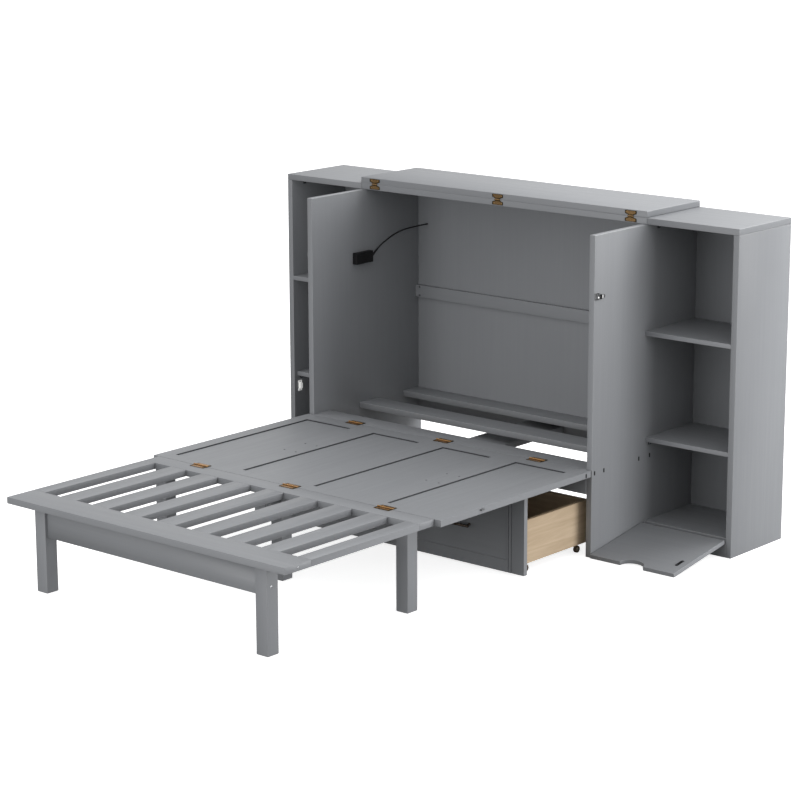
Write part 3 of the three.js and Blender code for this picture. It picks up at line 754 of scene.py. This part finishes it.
def add_bar_handle(name, centre, outward, body, replaced=None, along=(1, 0, 0),
                   length=HANDLE_LENGTH, spacing=HANDLE_SPACING):
    """A square bar on two turned posts with small round feet."""
    place = framed(centre, along, outward)
    bm = bmesh.new()
    outline = rounded_rectangle(HANDLE_BAR, HANDLE_BAR, 0.0022)
    axis = HANDLE_REACH - HANDLE_BAR / 2
    ends = ((-length / 2, HANDLE_END_SIZE), (-length / 2 + HANDLE_END, 1.0),
            (length / 2 - HANDLE_END, 1.0), (length / 2, HANDLE_END_SIZE))
    bridge(bm, [[bm.verts.new(place @ Vector((x, a * size, axis + b * size))) for a, b in outline]
                for x, size in ends], caps=True)
    neck = HANDLE_REACH - HANDLE_BAR + 0.0010
    post = [(0.0, 0.0), (0.0058, 0.0), (0.0058, 0.0014), (0.0044, 0.0030), (0.0036, 0.0060),
            (0.0036, neck - 0.0030), (0.0042, neck), (0.0, neck)]
    for sign in (-1, 1):
        add_lathe(bm, post, place @ Vector((sign * spacing / 2, 0, 0)), outward)
    finish_piece(name, bm, body, BRONZE, sharp=50, replaced=replaced)


for side, _ in SIDES:
    low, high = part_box(f"{side}_drawer_handle")
    add_bar_handle(f"{side}_drawer_bar_handle",
                   ((low.x + high.x) / 2, high.y - CONTACT, (low.z + high.z) / 2), (0, -1, 0),
                   "drawer", f"{side}_drawer_handle")

# ---------- surface hinges ----------
LEAF_THICKNESS = 0.0016
KNUCKLE_RADIUS = 0.0027
KNUCKLE_EDGE = 0.0004
KNUCKLE_GAP = 0.00015
PIN_RADIUS = 0.0012
PIN_HEAD_RADIUS = 0.0020
LEAF_BOTTOM = -0.0029
LEAF_TOP = LEAF_BOTTOM + LEAF_THICKNESS
LEAF_CORNER = 0.0022
# Rings of a leaf's plate: the share of its outline, the height and how dark it is, patina and painted
# shade.
LEAF_RINGS = ((1.0, LEAF_BOTTOM, 1.0), (1.0, LEAF_TOP - 0.0003, 1.0), (0.975, LEAF_TOP, 1.0),
              (0.84, LEAF_TOP, 0.80), (0.50, LEAF_TOP, 0.10))
# The size of a leaf: its width, its depth, the width of its barrel and where it has flared out.
BED_HINGE_SIZE = (0.072, 0.0238, 0.072, 0.0)
BED_HINGE_SCREWS = ((-0.026, 0.0165), (0.0, 0.0095), (0.026, 0.0165))
LID_HINGE_SIZE = (0.054, 0.0216, 0.026, 0.0092)
LID_HINGE_SCREWS = ((-0.0190, 0.0152), (0.0190, 0.0152))
BED_HINGE_PLACES = (("left", -0.466), ("centre", 0.0), ("right", 0.466))
LID_HINGE_PLACES = (("left", -0.648), ("centre", 0.0), ("right", 0.648))


def leaf_outline(width, depth, barrel, shoulder):
    """The outline of a leaf, from the hinge axis outwards and back."""
    start = KNUCKLE_RADIUS + 0.0005
    half = [(width / 2, start)]
    if shoulder > start:
        half = [(barrel / 2, start), (barrel / 2, start + 0.0015), (width / 2, shoulder)]
    half += [(width / 2 - LEAF_CORNER + x, depth - LEAF_CORNER + y)
             for x, y in arc(LEAF_CORNER, 0.0, math.pi / 2, 4)]
    return half + [(-x, y) for x, y in reversed(half)]


def add_leaf_plate(bm, place, outline):
    """A thin plate with a softened rim, darkened towards the rim by patina and by painted shade."""
    patina = bm.verts.layers.float.new("patina")
    centre = sum((Vector(point) for point in outline), Vector((0, 0))) / len(outline)
    rings = []
    for share, level, rim_darkness in LEAF_RINGS:
        rings.append([bm.verts.new(place @ Vector((*(centre + (Vector(point) - centre) * share), level)))
                      for point in outline])
        for vert in rings[-1]:
            vert[patina] = rim_darkness
    bridge(bm, rings, caps=True)


def add_knuckle(bm, place, start, end):
    """A hollow barrel along the hinge axis, and the tongue that ties it to the plate."""
    half = (end - start) / 2
    hole = PIN_RADIUS + SKIN
    profile = mirrored([(hole, -half), (KNUCKLE_RADIUS - KNUCKLE_EDGE, -half),
                        (KNUCKLE_RADIUS, -half + KNUCKLE_EDGE)])
    add_lathe(bm, profile, place @ Vector((start + half, 0, 0)),
              place.to_3x3() @ Vector((1, 0, 0)), 20, closed=True)
    add_box(bm, spanned((start + SKIN, end - SKIN), (0.0004, KNUCKLE_RADIUS + 0.0012),
                        (LEAF_BOTTOM + SKIN, LEAF_TOP - 0.0003)), place)


def add_surface_hinge(name, axis_point, normal, leaves, size, screws, brass):
    """Two leaves on one pin. A leaf is (label, body, its direction, the CAD node it replaces)."""
    half = size[2] / 2
    third = size[2] / 6
    outer = ((-half, -third - KNUCKLE_GAP), (third + KNUCKLE_GAP, half))
    for (label, body, outward, replaced), knuckles in zip(leaves, (outer, ((-third, third),))):
        place = framed(axis_point, Vector(outward).cross(Vector(normal)), normal)
        bm = bmesh.new()
        add_leaf_plate(bm, place, leaf_outline(*size))
        for start, end in knuckles:
            add_knuckle(bm, place, start, end)
        finish_piece(f"{name}_{label}_leaf", bm, body, brass, sharp=40, replaced=replaced)
        heads = [(place @ Vector((x, y, LEAF_TOP)), normal) for x, y in screws]
        add_screws(f"{name}_{label}_screws", body, brass, heads, 0.0029, 0.0007, 0.0002)
    bm = bmesh.new()
    add_lathe(bm, mirrored([(0.0, -half - 0.0014), (PIN_HEAD_RADIUS - 0.0007, -half - 0.0012),
                            (PIN_HEAD_RADIUS, -half - 0.0005), (PIN_HEAD_RADIUS, -half - SKIN),
                            (PIN_RADIUS, -half - SKIN)]), axis_point, (1, 0, 0), 20)
    finish_piece(f"{name}_pin", bm, leaves[0][1], BRASS)


def add_bed_hinges():
    """A row where the bed panel meets the cabinet and one where it meets the slats."""
    for row, axis, rear_body, front_body in (("panel", PANEL_AXIS, "cabinet", "bed_panel_body"),
                                             ("fold", FOLD_AXIS, "bed_panel_body", "slatted_section")):
        for label, x in BED_HINGE_PLACES:
            nodes = (None, None)
            if label == "centre":
                nodes = (f"{row}_hinge_rear_leaf", f"{row}_hinge_front_leaf")
            leaves = (("rear", rear_body, (0, 1, 0), nodes[0]), ("front", front_body, (0, -1, 0), nodes[1]))
            add_surface_hinge(f"{label}_{row}_hinge", Vector((x, axis.y, axis.z)), (0, 0, 1), leaves,
                              BED_HINGE_SIZE, BED_HINGE_SCREWS, BRASS)


def add_lid_hinges():
    leaves = (("lower", "cabinet", (0, 0, -1), None), ("upper", "lid", (0, 0, 1), None))
    for label, x in LID_HINGE_PLACES:
        add_surface_hinge(f"{label}_lid_hinge", Vector((x, LID_AXIS.y, LID_AXIS.z)), (0, -1, 0), leaves,
                          LID_HINGE_SIZE, LID_HINGE_SCREWS, LID_BRASS)


add_bed_hinges()
add_lid_hinges()

# ---------- drop doors ----------
DOOR_THICKNESS = 0.016
DOOR_BOTTOM = 0.001
DOOR_TOP = 0.343
FINGER_CUT_HALF_WIDTH, FINGER_CUT_DEPTH = 0.0525, 0.036
DOOR_HINGES = (("left", -0.120), ("right", 0.120))
DOOR_HINGE_WIDTH = 0.038
DOOR_HINGE_NOTCH = 0.0016
DOOR_LEAF_THICKNESS = 0.0010
DOOR_LEAF_DEPTH = 0.0150
PLINTH_LEAF_Z = 0.0501
STRIKE_FROM_EDGE = 0.033
STRIKE_Z = 0.256
STRIKE_SIZE = (0.012, 0.048)
STRIKE_THICKNESS = 0.0020
STRIKE_SCREW_OFFSETS = (-0.017, 0.017)


def door_outline(half):
    """Width and height of a closed door: hinge notches below, a finger cut in the top edge."""
    notch = DOOR_HINGE_WIDTH / 2 + 0.0005
    points = [(-half, DOOR_BOTTOM)]
    for _, x in DOOR_HINGES:
        points += [(x - notch, DOOR_BOTTOM), (x - notch, DOOR_BOTTOM + DOOR_HINGE_NOTCH),
                   (x + notch, DOOR_BOTTOM + DOOR_HINGE_NOTCH), (x + notch, DOOR_BOTTOM)]
    points += [(half, DOOR_BOTTOM), (half, DOOR_TOP)]
    points += [(FINGER_CUT_HALF_WIDTH * x, DOOR_TOP - FINGER_CUT_DEPTH * y)
               for x, y in arc(1.0, 0.0, math.pi, 24)]
    return points + [(-half, DOOR_TOP)]


def add_door_hinge_leaf(name, body, place, offset, bottom, inner_y, spans, tongues):
    """One leaf of a small butt hinge and its barrels, tied to the plate by tongues if asked."""
    bm = bmesh.new()
    add_box(bm, spanned(about(offset, DOOR_HINGE_WIDTH), (inner_y, DOOR_LEAF_DEPTH),
                        (bottom, bottom + DOOR_LEAF_THICKNESS)), place)
    for start, end in spans:
        half = (end - start) / 2
        barrel = mirrored([(0.0, -half), (0.0011, -half), (0.0014, -half + 0.0003)])
        add_lathe(bm, barrel, place @ Vector((offset + start + half, 0, 0)), (1, 0, 0), 16)
        if tongues:
            add_box(bm, spanned((offset + start, offset + end), (inner_y, 0.0012),
                                (bottom + 0.0005, -0.0006)), place)
    finish_piece(name, bm, body, BRASS, sharp=40)


def add_door_hinges(side, stand, axis_point):
    """Two small butt hinges: one leaf in the door's notch, the other on top of the plinth."""
    half_width = DOOR_HINGE_WIDTH / 2
    third = DOOR_HINGE_WIDTH / 6
    level = Matrix.Translation(axis_point)
    door_leaf_z = DOOR_BOTTOM + DOOR_HINGE_NOTCH - SKIN - DOOR_LEAF_THICKNESS
    outer = ((-half_width, -third - CONTACT), (third + CONTACT, half_width))
    for label, offset in DOOR_HINGES:
        name = f"{side}_door_{label}_hinge"
        add_door_hinge_leaf(f"{name}_door_leaf", f"{side}_door", stand, offset, door_leaf_z,
                            0.0006, ((-third, third),), False)
        add_door_hinge_leaf(f"{name}_plinth_leaf", "cabinet", level, offset,
                            PLINTH_LEAF_Z - axis_point.z, 0.0002, outer, True)


def add_drop_door(side, sign):
    """A door made closed, then laid open on its hinge as the CAD door is."""
    joint = JOINTS[f"{side}_door_hinge"]
    axis_point = Vector(joint["pos_m"])
    stand = (Matrix.Translation(axis_point)
             @ Matrix.Rotation(math.radians(joint["range_deg"][1]), 4, "X"))
    low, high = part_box(f"{side}_drop_door")
    half = (high.x - low.x) / 2
    bm = bmesh.new()
    add_prism(bm, door_outline(half), DOOR_THICKNESS,
              stand @ framed((0, DOOR_THICKNESS, 0), (1, 0, 0), (0, -1, 0)))
    door = finish_piece(f"{side}_drop_door_slab", bm, f"{side}_door", PAINTED[0],
                        replaced=f"{side}_drop_door")
    round_edges(door, 0.0012, edge_material=EDGE_HIGHLIGHT_INDEX)
    strike = stand @ aimed((sign * (half - STRIKE_FROM_EDGE), DOOR_THICKNESS + CONTACT, STRIKE_Z),
                           (0, 1, 0))
    bm = bmesh.new()
    add_prism(bm, rounded_rectangle(*STRIKE_SIZE, 0.003), STRIKE_THICKNESS, strike)
    finish_piece(f"{side}_door_strike", bm, f"{side}_door", BLACK_PLASTIC, bevel=0.0005)
    outward = strike.to_3x3() @ Vector((0, 0, 1))
    heads = [(strike @ Vector((0, offset, STRIKE_THICKNESS)), outward)
             for offset in STRIKE_SCREW_OFFSETS]
    add_screws(f"{side}_door_strike_screws", f"{side}_door", DARK_STEEL, heads, 0.0028, 0.0006, SKIN)
    add_door_hinges(side, stand, axis_point)


for side, sign in SIDES:
    add_drop_door(side, sign)

# ---------- floors of the side units ----------
PLINTH_THICKNESS = 0.0178
PLINTH_TOP = 0.0498
UNIT_FLOOR_Z = 0.0471
CLEAT_BOTTOM = 0.022
CLEAT_BACK = 0.036


def add_painted_box(name, low, high):
    board = finish_piece(name, box_mesh((low, high)), "cabinet", PAINTED[0])
    round_edges(board, EDGE_RADIUS, 3, EDGE_HIGHLIGHT_INDEX)
    return board


def add_unit_floors():
    """Each side unit stands on a plinth with its floor board behind, held by a cleat."""
    for side, _ in SIDES:
        low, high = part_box(f"{side}_base")
        behind = low.y + PLINTH_THICKNESS + CONTACT
        floor = add_painted_box(f"{side}_unit_floor", (low.x, behind, UNIT_FLOOR_Z), high)
        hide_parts(f"{side}_base")
        add_painted_box(f"{side}_plinth", low, (high.x, low.y + PLINTH_THICKNESS, PLINTH_TOP))
        add_painted_box(f"{side}_floor_cleat", (low.x, behind + CONTACT, CLEAT_BOTTOM),
                        (high.x, low.y + CLEAT_BACK, UNIT_FLOOR_Z - CONTACT))


add_unit_floors()

# ---------- castors ----------
CHEEK_OUTLINE = ((-0.0120, 0.0285), (0.0340, 0.0285), (0.0090, -0.0010), (0.0055, -0.0052),
                 (0.0, -0.0070), (-0.0055, -0.0052))
CHEEK_THICKNESS = 0.0011
CHEEK_GAP = 0.0004
AXLE_RADIUS, AXLE_HEAD_RADIUS = 0.0015, 0.0026


def add_castor(row, side):
    """A wheel of a tyre and a hub, its bracket and its axle."""
    name = f"{row}_{side}"
    low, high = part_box(f"{name}_drawer_wheel")
    centre = (low + high) / 2
    radius = (high.z - low.z) / 2
    half = (high.x - low.x) / 2
    tyre = [(radius - 0.0044, -half * 0.60), (radius - 0.0040, -half * 0.94), (radius - 0.0014, -half),
            (radius, -half + 0.0020)]
    hub = [(0.0018, -half), (0.0040, -half), (0.0044, -half * 0.55), (radius - 0.0046, -half * 0.42)]
    for piece, profile, look, replaced in (("tyre", tyre, WHEEL_PLASTIC, f"{name}_drawer_wheel"),
                                           ("hub", hub, HUB_PLASTIC, None)):
        bm = bmesh.new()
        add_lathe(bm, mirrored(profile), centre, (1, 0, 0), 48, closed=True)
        finish_piece(f"{name}_wheel_{piece}", bm, f"{name}_wheel", look, replaced=replaced)
    add_castor_bracket(name, centre, half)


def add_castor_bracket(name, centre, half):
    """A pressed bracket: a plate under the drawer and a cheek inside the wheel, leaning back."""
    reach = half + CHEEK_GAP + CHEEK_THICKNESS
    start = centre.x - reach if centre.x > 0 else centre.x + half + CHEEK_GAP
    bm = bmesh.new()
    # The outline's X and Y become the drawer's Y and Z.
    add_prism(bm, CHEEK_OUTLINE, CHEEK_THICKNESS,
              framed((start, centre.y, centre.z), (0, 1, 0), (1, 0, 0)))
    top = centre.z + CHEEK_OUTLINE[0][1]
    plate_y = [centre.y + CHEEK_OUTLINE[index][0] for index in (0, 1)]
    add_box(bm, spanned(about(centre.x, 2 * reach), plate_y, (top - 0.0008, top + 0.0004)))
    finish_piece(f"{name}_castor_bracket", bm, "drawer", BRONZE, bevel=0.0003)
    bm = bmesh.new()
    end = reach + SKIN
    add_lathe(bm, mirrored([(0.0, -end - 0.0006), (AXLE_HEAD_RADIUS - 0.0008, -end - 0.0006),
                            (AXLE_HEAD_RADIUS, -end - SKIN), (AXLE_HEAD_RADIUS, -end),
                            (AXLE_RADIUS, -end)]), centre, (1, 0, 0), 20)
    finish_piece(f"{name}_castor_axle", bm, "drawer", ZINC)


for row in ("front", "rear"):
    for side, _ in SIDES:
        add_castor(row, side)

# ---------- bed panel latches ----------
LATCH_FACE = PARTITION_FACE_X + CONTACT
TONGUE_HEIGHT = 0.012
TONGUE_THICKNESS = 0.0045
TONGUE_TOP = LATCH_FACE + TONGUE_THICKNESS
THUMB_Y = (0.0290, 0.0410)
THUMB_TOP = LATCH_FACE + 0.0068
THUMB_RIDGES = 3
RIDGE_START, RIDGE_PITCH, RIDGE_WIDTH, RIDGE_INSET = 0.0012, 0.0031, 0.0014, 0.0015
TAIL_LENGTH = 0.0075
RIVET_PROFILE = ((0.0, 0.0), (0.0042, 0.0), (0.0042, 0.0010), (0.0036, 0.0019), (0.0020, 0.0026),
                 (0.0, 0.0028))
GUIDE_LENGTH = 0.027
GUIDE_HEIGHT = 0.0032
GUIDE_CLEARANCE = TONGUE_HEIGHT / 2 + 0.0014
UPPER_GUIDE_WIDTH, LOWER_GUIDE_WIDTH = 0.0085, 0.0035
KEEPER_CLEARANCE = TONGUE_HEIGHT / 2 + 0.0010
KEEPER_LEG = 0.002
KEEPER_HEIGHT = 0.0076
KEEPER_BRIDGE = 0.0016
KEEPER_DEPTHS = (0.0115, 0.0055)


def add_latch_bolt(side, sign):
    """A flat bolt with a rivet near its tip, a ribbed thumb block and a bright rear end."""
    low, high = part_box(f"{side}_latch_bolt")
    body = f"{side}_latch"
    middle = (low.z + high.z) / 2
    z = about(middle, TONGUE_HEIGHT)
    tongue = box_mesh(spanned((LATCH_FACE, TONGUE_TOP), (low.y, high.y), z, sign))
    finish_piece(f"{side}_latch_tongue", tongue, body, LATCH_STEEL, bevel=0.0009, segments=3,
                 replaced=f"{side}_latch_bolt")
    start = TONGUE_TOP - 0.0005
    thumb_y = [low.y + y for y in THUMB_Y]
    tail_y = (thumb_y[1] + 0.0004, thumb_y[1] + TAIL_LENGTH)
    tail = box_mesh(spanned((start, THUMB_TOP - 0.0008), tail_y, (z[0] + 0.0004, z[1] - 0.0004), sign))
    # The tail and the rivet wear the near-white nickel, partly a painted highlight.
    finish_piece(f"{side}_latch_tail", tail, body, NICKEL, bevel=0.0005, segments=3)
    bm = bmesh.new()
    add_lathe(bm, RIVET_PROFILE, (sign * start, low.y + 0.019, middle - 0.002), (sign, 0, 0), 28)
    finish_piece(f"{side}_latch_rivet", bm, body, NICKEL)
    thumb = box_mesh(spanned((start, THUMB_TOP - 0.0012), thumb_y, (low.z, high.z), sign))
    for index in range(THUMB_RIDGES):
        y = thumb_y[0] + RIDGE_START + index * RIDGE_PITCH
        add_box(thumb, spanned((THUMB_TOP - 0.0018, THUMB_TOP), (y, y + RIDGE_WIDTH),
                               (low.z + RIDGE_INSET, high.z - RIDGE_INSET), sign))
    finish_piece(f"{side}_latch_thumb_block", thumb, body, BLACK_PLASTIC, bevel=0.0006)


def add_latch_guides(side, sign):
    """Two low rails that the bolt slides between. The upper one has two screws."""
    low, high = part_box(f"{side}_latch_bolt")
    middle = (low.z + high.z) / 2
    upper, lower = middle + GUIDE_CLEARANCE, middle - GUIDE_CLEARANCE
    top = LATCH_FACE + GUIDE_HEIGHT
    y = (low.y + 0.0005, low.y + GUIDE_LENGTH)
    rails = box_mesh(*(spanned((LATCH_FACE, top), y, z, sign) for z in (
        (upper, upper + UPPER_GUIDE_WIDTH), (lower - LOWER_GUIDE_WIDTH, lower))))
    finish_piece(f"{side}_latch_guide_rails", rails, "cabinet", LATCH_STEEL, bevel=0.0006)
    heads = [((sign * top, low.y + offset, upper + 0.0042), (sign, 0, 0))
             for offset in (0.006, GUIDE_LENGTH - 0.006)]
    add_screws(f"{side}_latch_guide_screws", "cabinet", DARK_STEEL, heads, 0.0024, 0.0006, SKIN)


def add_latch_keeper(side, sign):
    """A staple on the bed panel's edge. Closed, it stands in the bolt's way."""
    low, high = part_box(f"{side}_latch_bolt")
    centre_y = PANEL_AXIS.y - ((low.z + high.z) / 2 - PANEL_AXIS.z)
    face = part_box("bed_panel")[1].x + CONTACT
    top = face + KEEPER_HEIGHT
    z = [PLATFORM_TOP_Z - depth for depth in KEEPER_DEPTHS]
    front, back = centre_y - KEEPER_CLEARANCE, centre_y + KEEPER_CLEARANCE
    staple = box_mesh(spanned((face, top), (front - KEEPER_LEG, front), z, sign),
                      spanned((face, top), (back, back + KEEPER_LEG), z, sign),
                      spanned((top - KEEPER_BRIDGE, top), (front - CONTACT, back + CONTACT), z, sign))
    finish_piece(f"{side}_latch_keeper", staple, "bed_panel_body", LATCH_STEEL, bevel=0.0005)


for side, sign in SIDES:
    add_latch_bolt(side, sign)
    add_latch_guides(side, sign)
    add_latch_keeper(side, sign)

# ---------- door catches and angle brackets ----------
CATCH_Y = (0.0205, 0.0455)
CATCH_Z = (0.320, 0.366)
CATCH_THICKNESS = 0.0018
CATCH_CASE_SIZE = (0.016, 0.024)
CATCH_CASE_TOP = 0.0110
CATCH_SCREW_OFFSETS = (-0.0180, 0.0180)
BRACKET_THICKNESS = 0.0020
BRACKET_WIDTH = 0.016
BRACKET_SCREW_SHARE = 0.62


def catch_outline():
    """A plate with wide ends and a narrow waist, its width along X and its height along Y."""
    half_width = (CATCH_Y[1] - CATCH_Y[0]) / 2
    half_height = (CATCH_Z[1] - CATCH_Z[0]) / 2
    quarter = [(half_width * 0.66, half_height * 0.45), (half_width, half_height * 0.70),
               (half_width, half_height - 0.002), (half_width - 0.002, half_height)]
    right = [(x, -y) for x, y in reversed(quarter)] + quarter
    return right + [(-x, -y) for x, y in right]


def add_door_catch(side, sign):
    """A magnetic catch on the side panel: a waisted plate, a magnet case and two screws."""
    wall = SIDE_PANEL_INNER_X - CONTACT
    y, z = UNIT_FRONT_Y + sum(CATCH_Y) / 2, sum(CATCH_Z) / 2
    inward = (-sign, 0, 0)
    bm = bmesh.new()
    add_prism(bm, catch_outline(), CATCH_THICKNESS, aimed((sign * wall, y, z), inward))
    # Plate and case wear the glowing white plastic instead of steel and black: painted highlight and
    # painted glow.
    finish_piece(f"{side}_door_catch_plate", bm, "cabinet", ("steel", GLOWING_WHITE_PLASTIC), bevel=0.0005)
    plate_top = wall - CATCH_THICKNESS + SKIN
    case = box_mesh(spanned((wall - CATCH_CASE_TOP, plate_top), about(y, CATCH_CASE_SIZE[0]),
                            about(z, CATCH_CASE_SIZE[1]), sign))
    finish_piece(f"{side}_door_catch_case", case, "cabinet", ("black_plastic", GLOWING_WHITE_PLASTIC),
                 bevel=0.0016, segments=3)
    heads = [((sign * plate_top, y, z + offset), inward) for offset in CATCH_SCREW_OFFSETS]
    add_screws(f"{side}_door_catch_screws", "cabinet", ZINC, heads, 0.0030, 0.0010, 0.0)


def add_corner_bracket(name, wall_x, into, y, under_z, size):
    """A small angle bracket under a board: one leg on the wall, the other under the board."""
    width = (y, y + BRACKET_WIDTH)
    leg_x = (wall_x, wall_x + into * BRACKET_THICKNESS)
    arm_x = (wall_x, wall_x + into * size)
    angle = box_mesh(spanned(leg_x, width, (under_z - size, under_z)),
                     spanned(arm_x, width, (under_z - BRACKET_THICKNESS, under_z)))
    finish_piece(f"{name}_plate", angle, "cabinet", DARK_STEEL, bevel=0.0005)
    middle = y + BRACKET_WIDTH / 2
    reach = size * BRACKET_SCREW_SHARE
    heads = [((wall_x + into * BRACKET_THICKNESS, middle, under_z - reach), (into, 0, 0)),
             ((wall_x + into * reach, middle, under_z - BRACKET_THICKNESS), (0, 0, -1))]
    add_screws(f"{name}_screws", "cabinet", ZINC, heads, 0.0030, 0.0009, SKIN)


def add_unit_fittings():
    """Angle brackets under the tops and shelves of both side units."""
    places = ((UNDER_TOP_Z, "top", (0.070, 0.270), 0.024),
              (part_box("right_upper_shelf")[0].z, "upper_shelf", (0.068, 0.270), 0.015),
              (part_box("right_lower_shelf")[0].z, "lower_shelf", (0.036, 0.270), 0.015))
    for side, sign in SIDES:
        walls = (("partition", sign * (PARTITION_FACE_X + CONTACT), sign),
                 ("panel", sign * (SIDE_PANEL_INNER_X - CONTACT), -sign))
        for under_z, board, setbacks, size in places:
            for wall, x, into in walls:
                for row, setback in zip(("front", "rear"), setbacks):
                    add_corner_bracket(f"{side}_{board}_{wall}_{row}_bracket", x, into,
                                       UNIT_FRONT_Y + setback, under_z - CONTACT, size)


for side, sign in SIDES:
    add_door_catch(side, sign)
add_unit_fittings()

# ---------- screws and cover caps ----------
CAP_SIZE = (0.0070, 0.0175)
CAP_THICKNESS = 0.0014
CAP_BELOW_TOP = 0.014
PANEL_CAP_SETBACK = 0.031
RAIL_SCREW_INSET = 0.021
FOOT_SCREW_Y = -1.126
FOOT_SCREW_Z = 0.2445
BACK_RAIL_SCREW_INSET = 0.022
BACK_RAIL_SCREW_OFFSETS = (-0.018, 0.018)
FOOT_RAIL_SCREW_DEPTH = 0.012


def add_cover_caps(name, body, places, sign):
    """Upright oval caps over the slots of the platform's fixing screws."""
    bm = bmesh.new()
    outline = rounded_rectangle(*CAP_SIZE, CAP_SIZE[0] / 2 - SKIN, 6)
    for x, y, z in places:
        add_prism(bm, outline, CAP_THICKNESS, aimed((x - sign * CONTACT, y, z), (sign, 0, 0)))
    finish_piece(name, bm, body, BLACK_PLASTIC, bevel=0.0004, segments=3)


def add_frame_screws():
    """Caps and screws that hold the platform, the legs, the back rail and the foot rail."""
    rows = []
    for board in ("hinge_strip", "front_slat"):
        low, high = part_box(board)
        rows += [low.y + RAIL_SCREW_INSET, high.y - RAIL_SCREW_INSET]
    cap_z = PLATFORM_TOP_Z - CAP_BELOW_TOP
    panel_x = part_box("bed_panel")[1].x
    leg_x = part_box("right_foot_leg")[1].x
    end_low, end_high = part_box("foot_rail")
    back_low, back_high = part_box("back_rail")
    for side, sign in SIDES:
        outward = (sign, 0, 0)
        add_cover_caps(f"{side}_partition_caps", "cabinet",
                       [(sign * PARTITION_FACE_X, y, cap_z) for y in rows], sign)
        add_cover_caps(f"{side}_bed_panel_cap", "bed_panel_body",
                       [(sign * panel_x, PANEL_AXIS.y - PANEL_CAP_SETBACK, cap_z)], sign)
        add_screws(f"{side}_foot_leg_screw", "slatted_section", ZINC,
                   [((sign * leg_x, FOOT_SCREW_Y, FOOT_SCREW_Z), outward)], 0.0050)
        x = sign * (back_high.x - BACK_RAIL_SCREW_INSET)
        middle = (back_low.z + back_high.z) / 2
        add_screws(f"{side}_back_rail_screws", "cabinet", DARK_STEEL,
                   [((x, back_low.y, middle + offset), (0, -1, 0))
                    for offset in BACK_RAIL_SCREW_OFFSETS], 0.0046)
        place = (sign * end_high.x, (end_low.y + end_high.y) / 2, end_high.z - FOOT_RAIL_SCREW_DEPTH)
        add_screws(f"{side}_foot_rail_screws", "slatted_section", ZINC, [(place, outward)], 0.0034)


add_frame_screws()

# ---------- handles under the bed panel ----------
UNDER_HANDLE_X = (-0.392, -0.332, 0.332, 0.392)
UNDER_HANDLE_Y = 0.0425
UNDER_HANDLE_LENGTH = 0.146
UNDER_HANDLE_SPACING = 0.121


def add_under_panel_handles():
    """Four upright handles on the face that is the cabinet's front when the bed is shut."""
    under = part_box("bed_panel")[0].z - CONTACT
    for number, x in enumerate(UNDER_HANDLE_X, start=1):
        add_bar_handle(f"bed_panel_handle_{number}", (x, UNDER_HANDLE_Y, under), (0, 0, -1),
                       "bed_panel_body", along=(0, 1, 0), length=UNDER_HANDLE_LENGTH,
                       spacing=UNDER_HANDLE_SPACING)
    heads = [((x, UNDER_HANDLE_Y + offset, PLATFORM_TOP_Z), (0, 0, 1)) for x in UNDER_HANDLE_X
             for offset in (-UNDER_HANDLE_SPACING / 2, UNDER_HANDLE_SPACING / 2)]
    add_screws("bed_panel_handle_screws", "bed_panel_body", DARK_STEEL, heads, 0.0042)


add_under_panel_handles()

# ---------- floor and light ----------
FLOOR_HALF_SIZE = 60.0
FLOOR_DROP = 0.0004
FLOOR_GLOW = 0.80
WORLD_STRENGTH = 0.80
# Each light: its name, place, target, size and power.
LIGHTS = (("overhead", (1.7, 3.2, 3.8), (0, 0, 0), (4.0, 4.0), 196.0),
          ("right_fill", (6.0, 1.4, 0.75), (0, 0.4, 0.5), (3.0, 2.0), 172.0),
          ("front_fill", (-0.9, -6.5, 1.3), (0, 0, 0.4), (3.0, 3.0), 124.0))


def make_floor_material():
    """A pale floor with soft shadows. What it throws back at the object is kept low."""
    floor = Finish("studio_floor", Roughness=0.9, Emission_Color=(1.0, 1.0, 1.0))
    seen = floor.add("LightPath").outputs["Is Camera Ray"]
    floor.shade(Base_Color=floor.blend(seen, (0.22, 0.22, 0.22), (0.8, 0.8, 0.8)),
                Emission_Strength=floor.remap(seen, 0.0, 1.0, 0.0, FLOOR_GLOW))
    return floor.material


def add_floor():
    half = FLOOR_HALF_SIZE
    bm = bmesh.new()
    bm.faces.new([bm.verts.new((x, y, 0.0)) for x, y in
                  ((-half, -half), (half, -half), (half, half), (-half, half))])
    mesh = bpy.data.meshes.new("studio_floor")
    bm.to_mesh(mesh)
    bm.free()
    floor = bpy.data.objects.new("studio_floor", mesh)
    floor.location.z = -FLOOR_DROP
    bpy.context.scene.collection.objects.link(floor)
    mesh.materials.append(make_floor_material())


def add_area_light(name, place, target, size, power):
    data = bpy.data.lights.new(name, "AREA")
    data.shape = "RECTANGLE"
    data.size, data.size_y = size
    data.energy = power
    light = bpy.data.objects.new(name, data)
    direction = Vector(target) - Vector(place)
    light.matrix_world = (Matrix.Translation(place)
                          @ direction.to_track_quat("-Z", "Y").to_matrix().to_4x4())
    bpy.context.scene.collection.objects.link(light)


def add_world():
    """A white room. The camera sees it brighter than it lights the object."""
    world = bpy.data.worlds.new("studio")
    world.use_nodes = True
    tree = world.node_tree
    background = tree.nodes["Background"]
    background.inputs["Color"].default_value = (1.0, 1.0, 1.0, 1.0)
    strength = tree.nodes.new("ShaderNodeMapRange")
    strength.inputs["To Min"].default_value = WORLD_STRENGTH
    seen = tree.nodes.new("ShaderNodeLightPath").outputs["Is Camera Ray"]
    tree.links.new(seen, strength.inputs["Value"])
    tree.links.new(strength.outputs["Result"], background.inputs["Strength"])
    bpy.context.scene.world = world


add_floor()
add_world()
for settings in LIGHTS:
    add_area_light(*settings)
bpy.context.scene.view_settings.view_transform = "Standard"
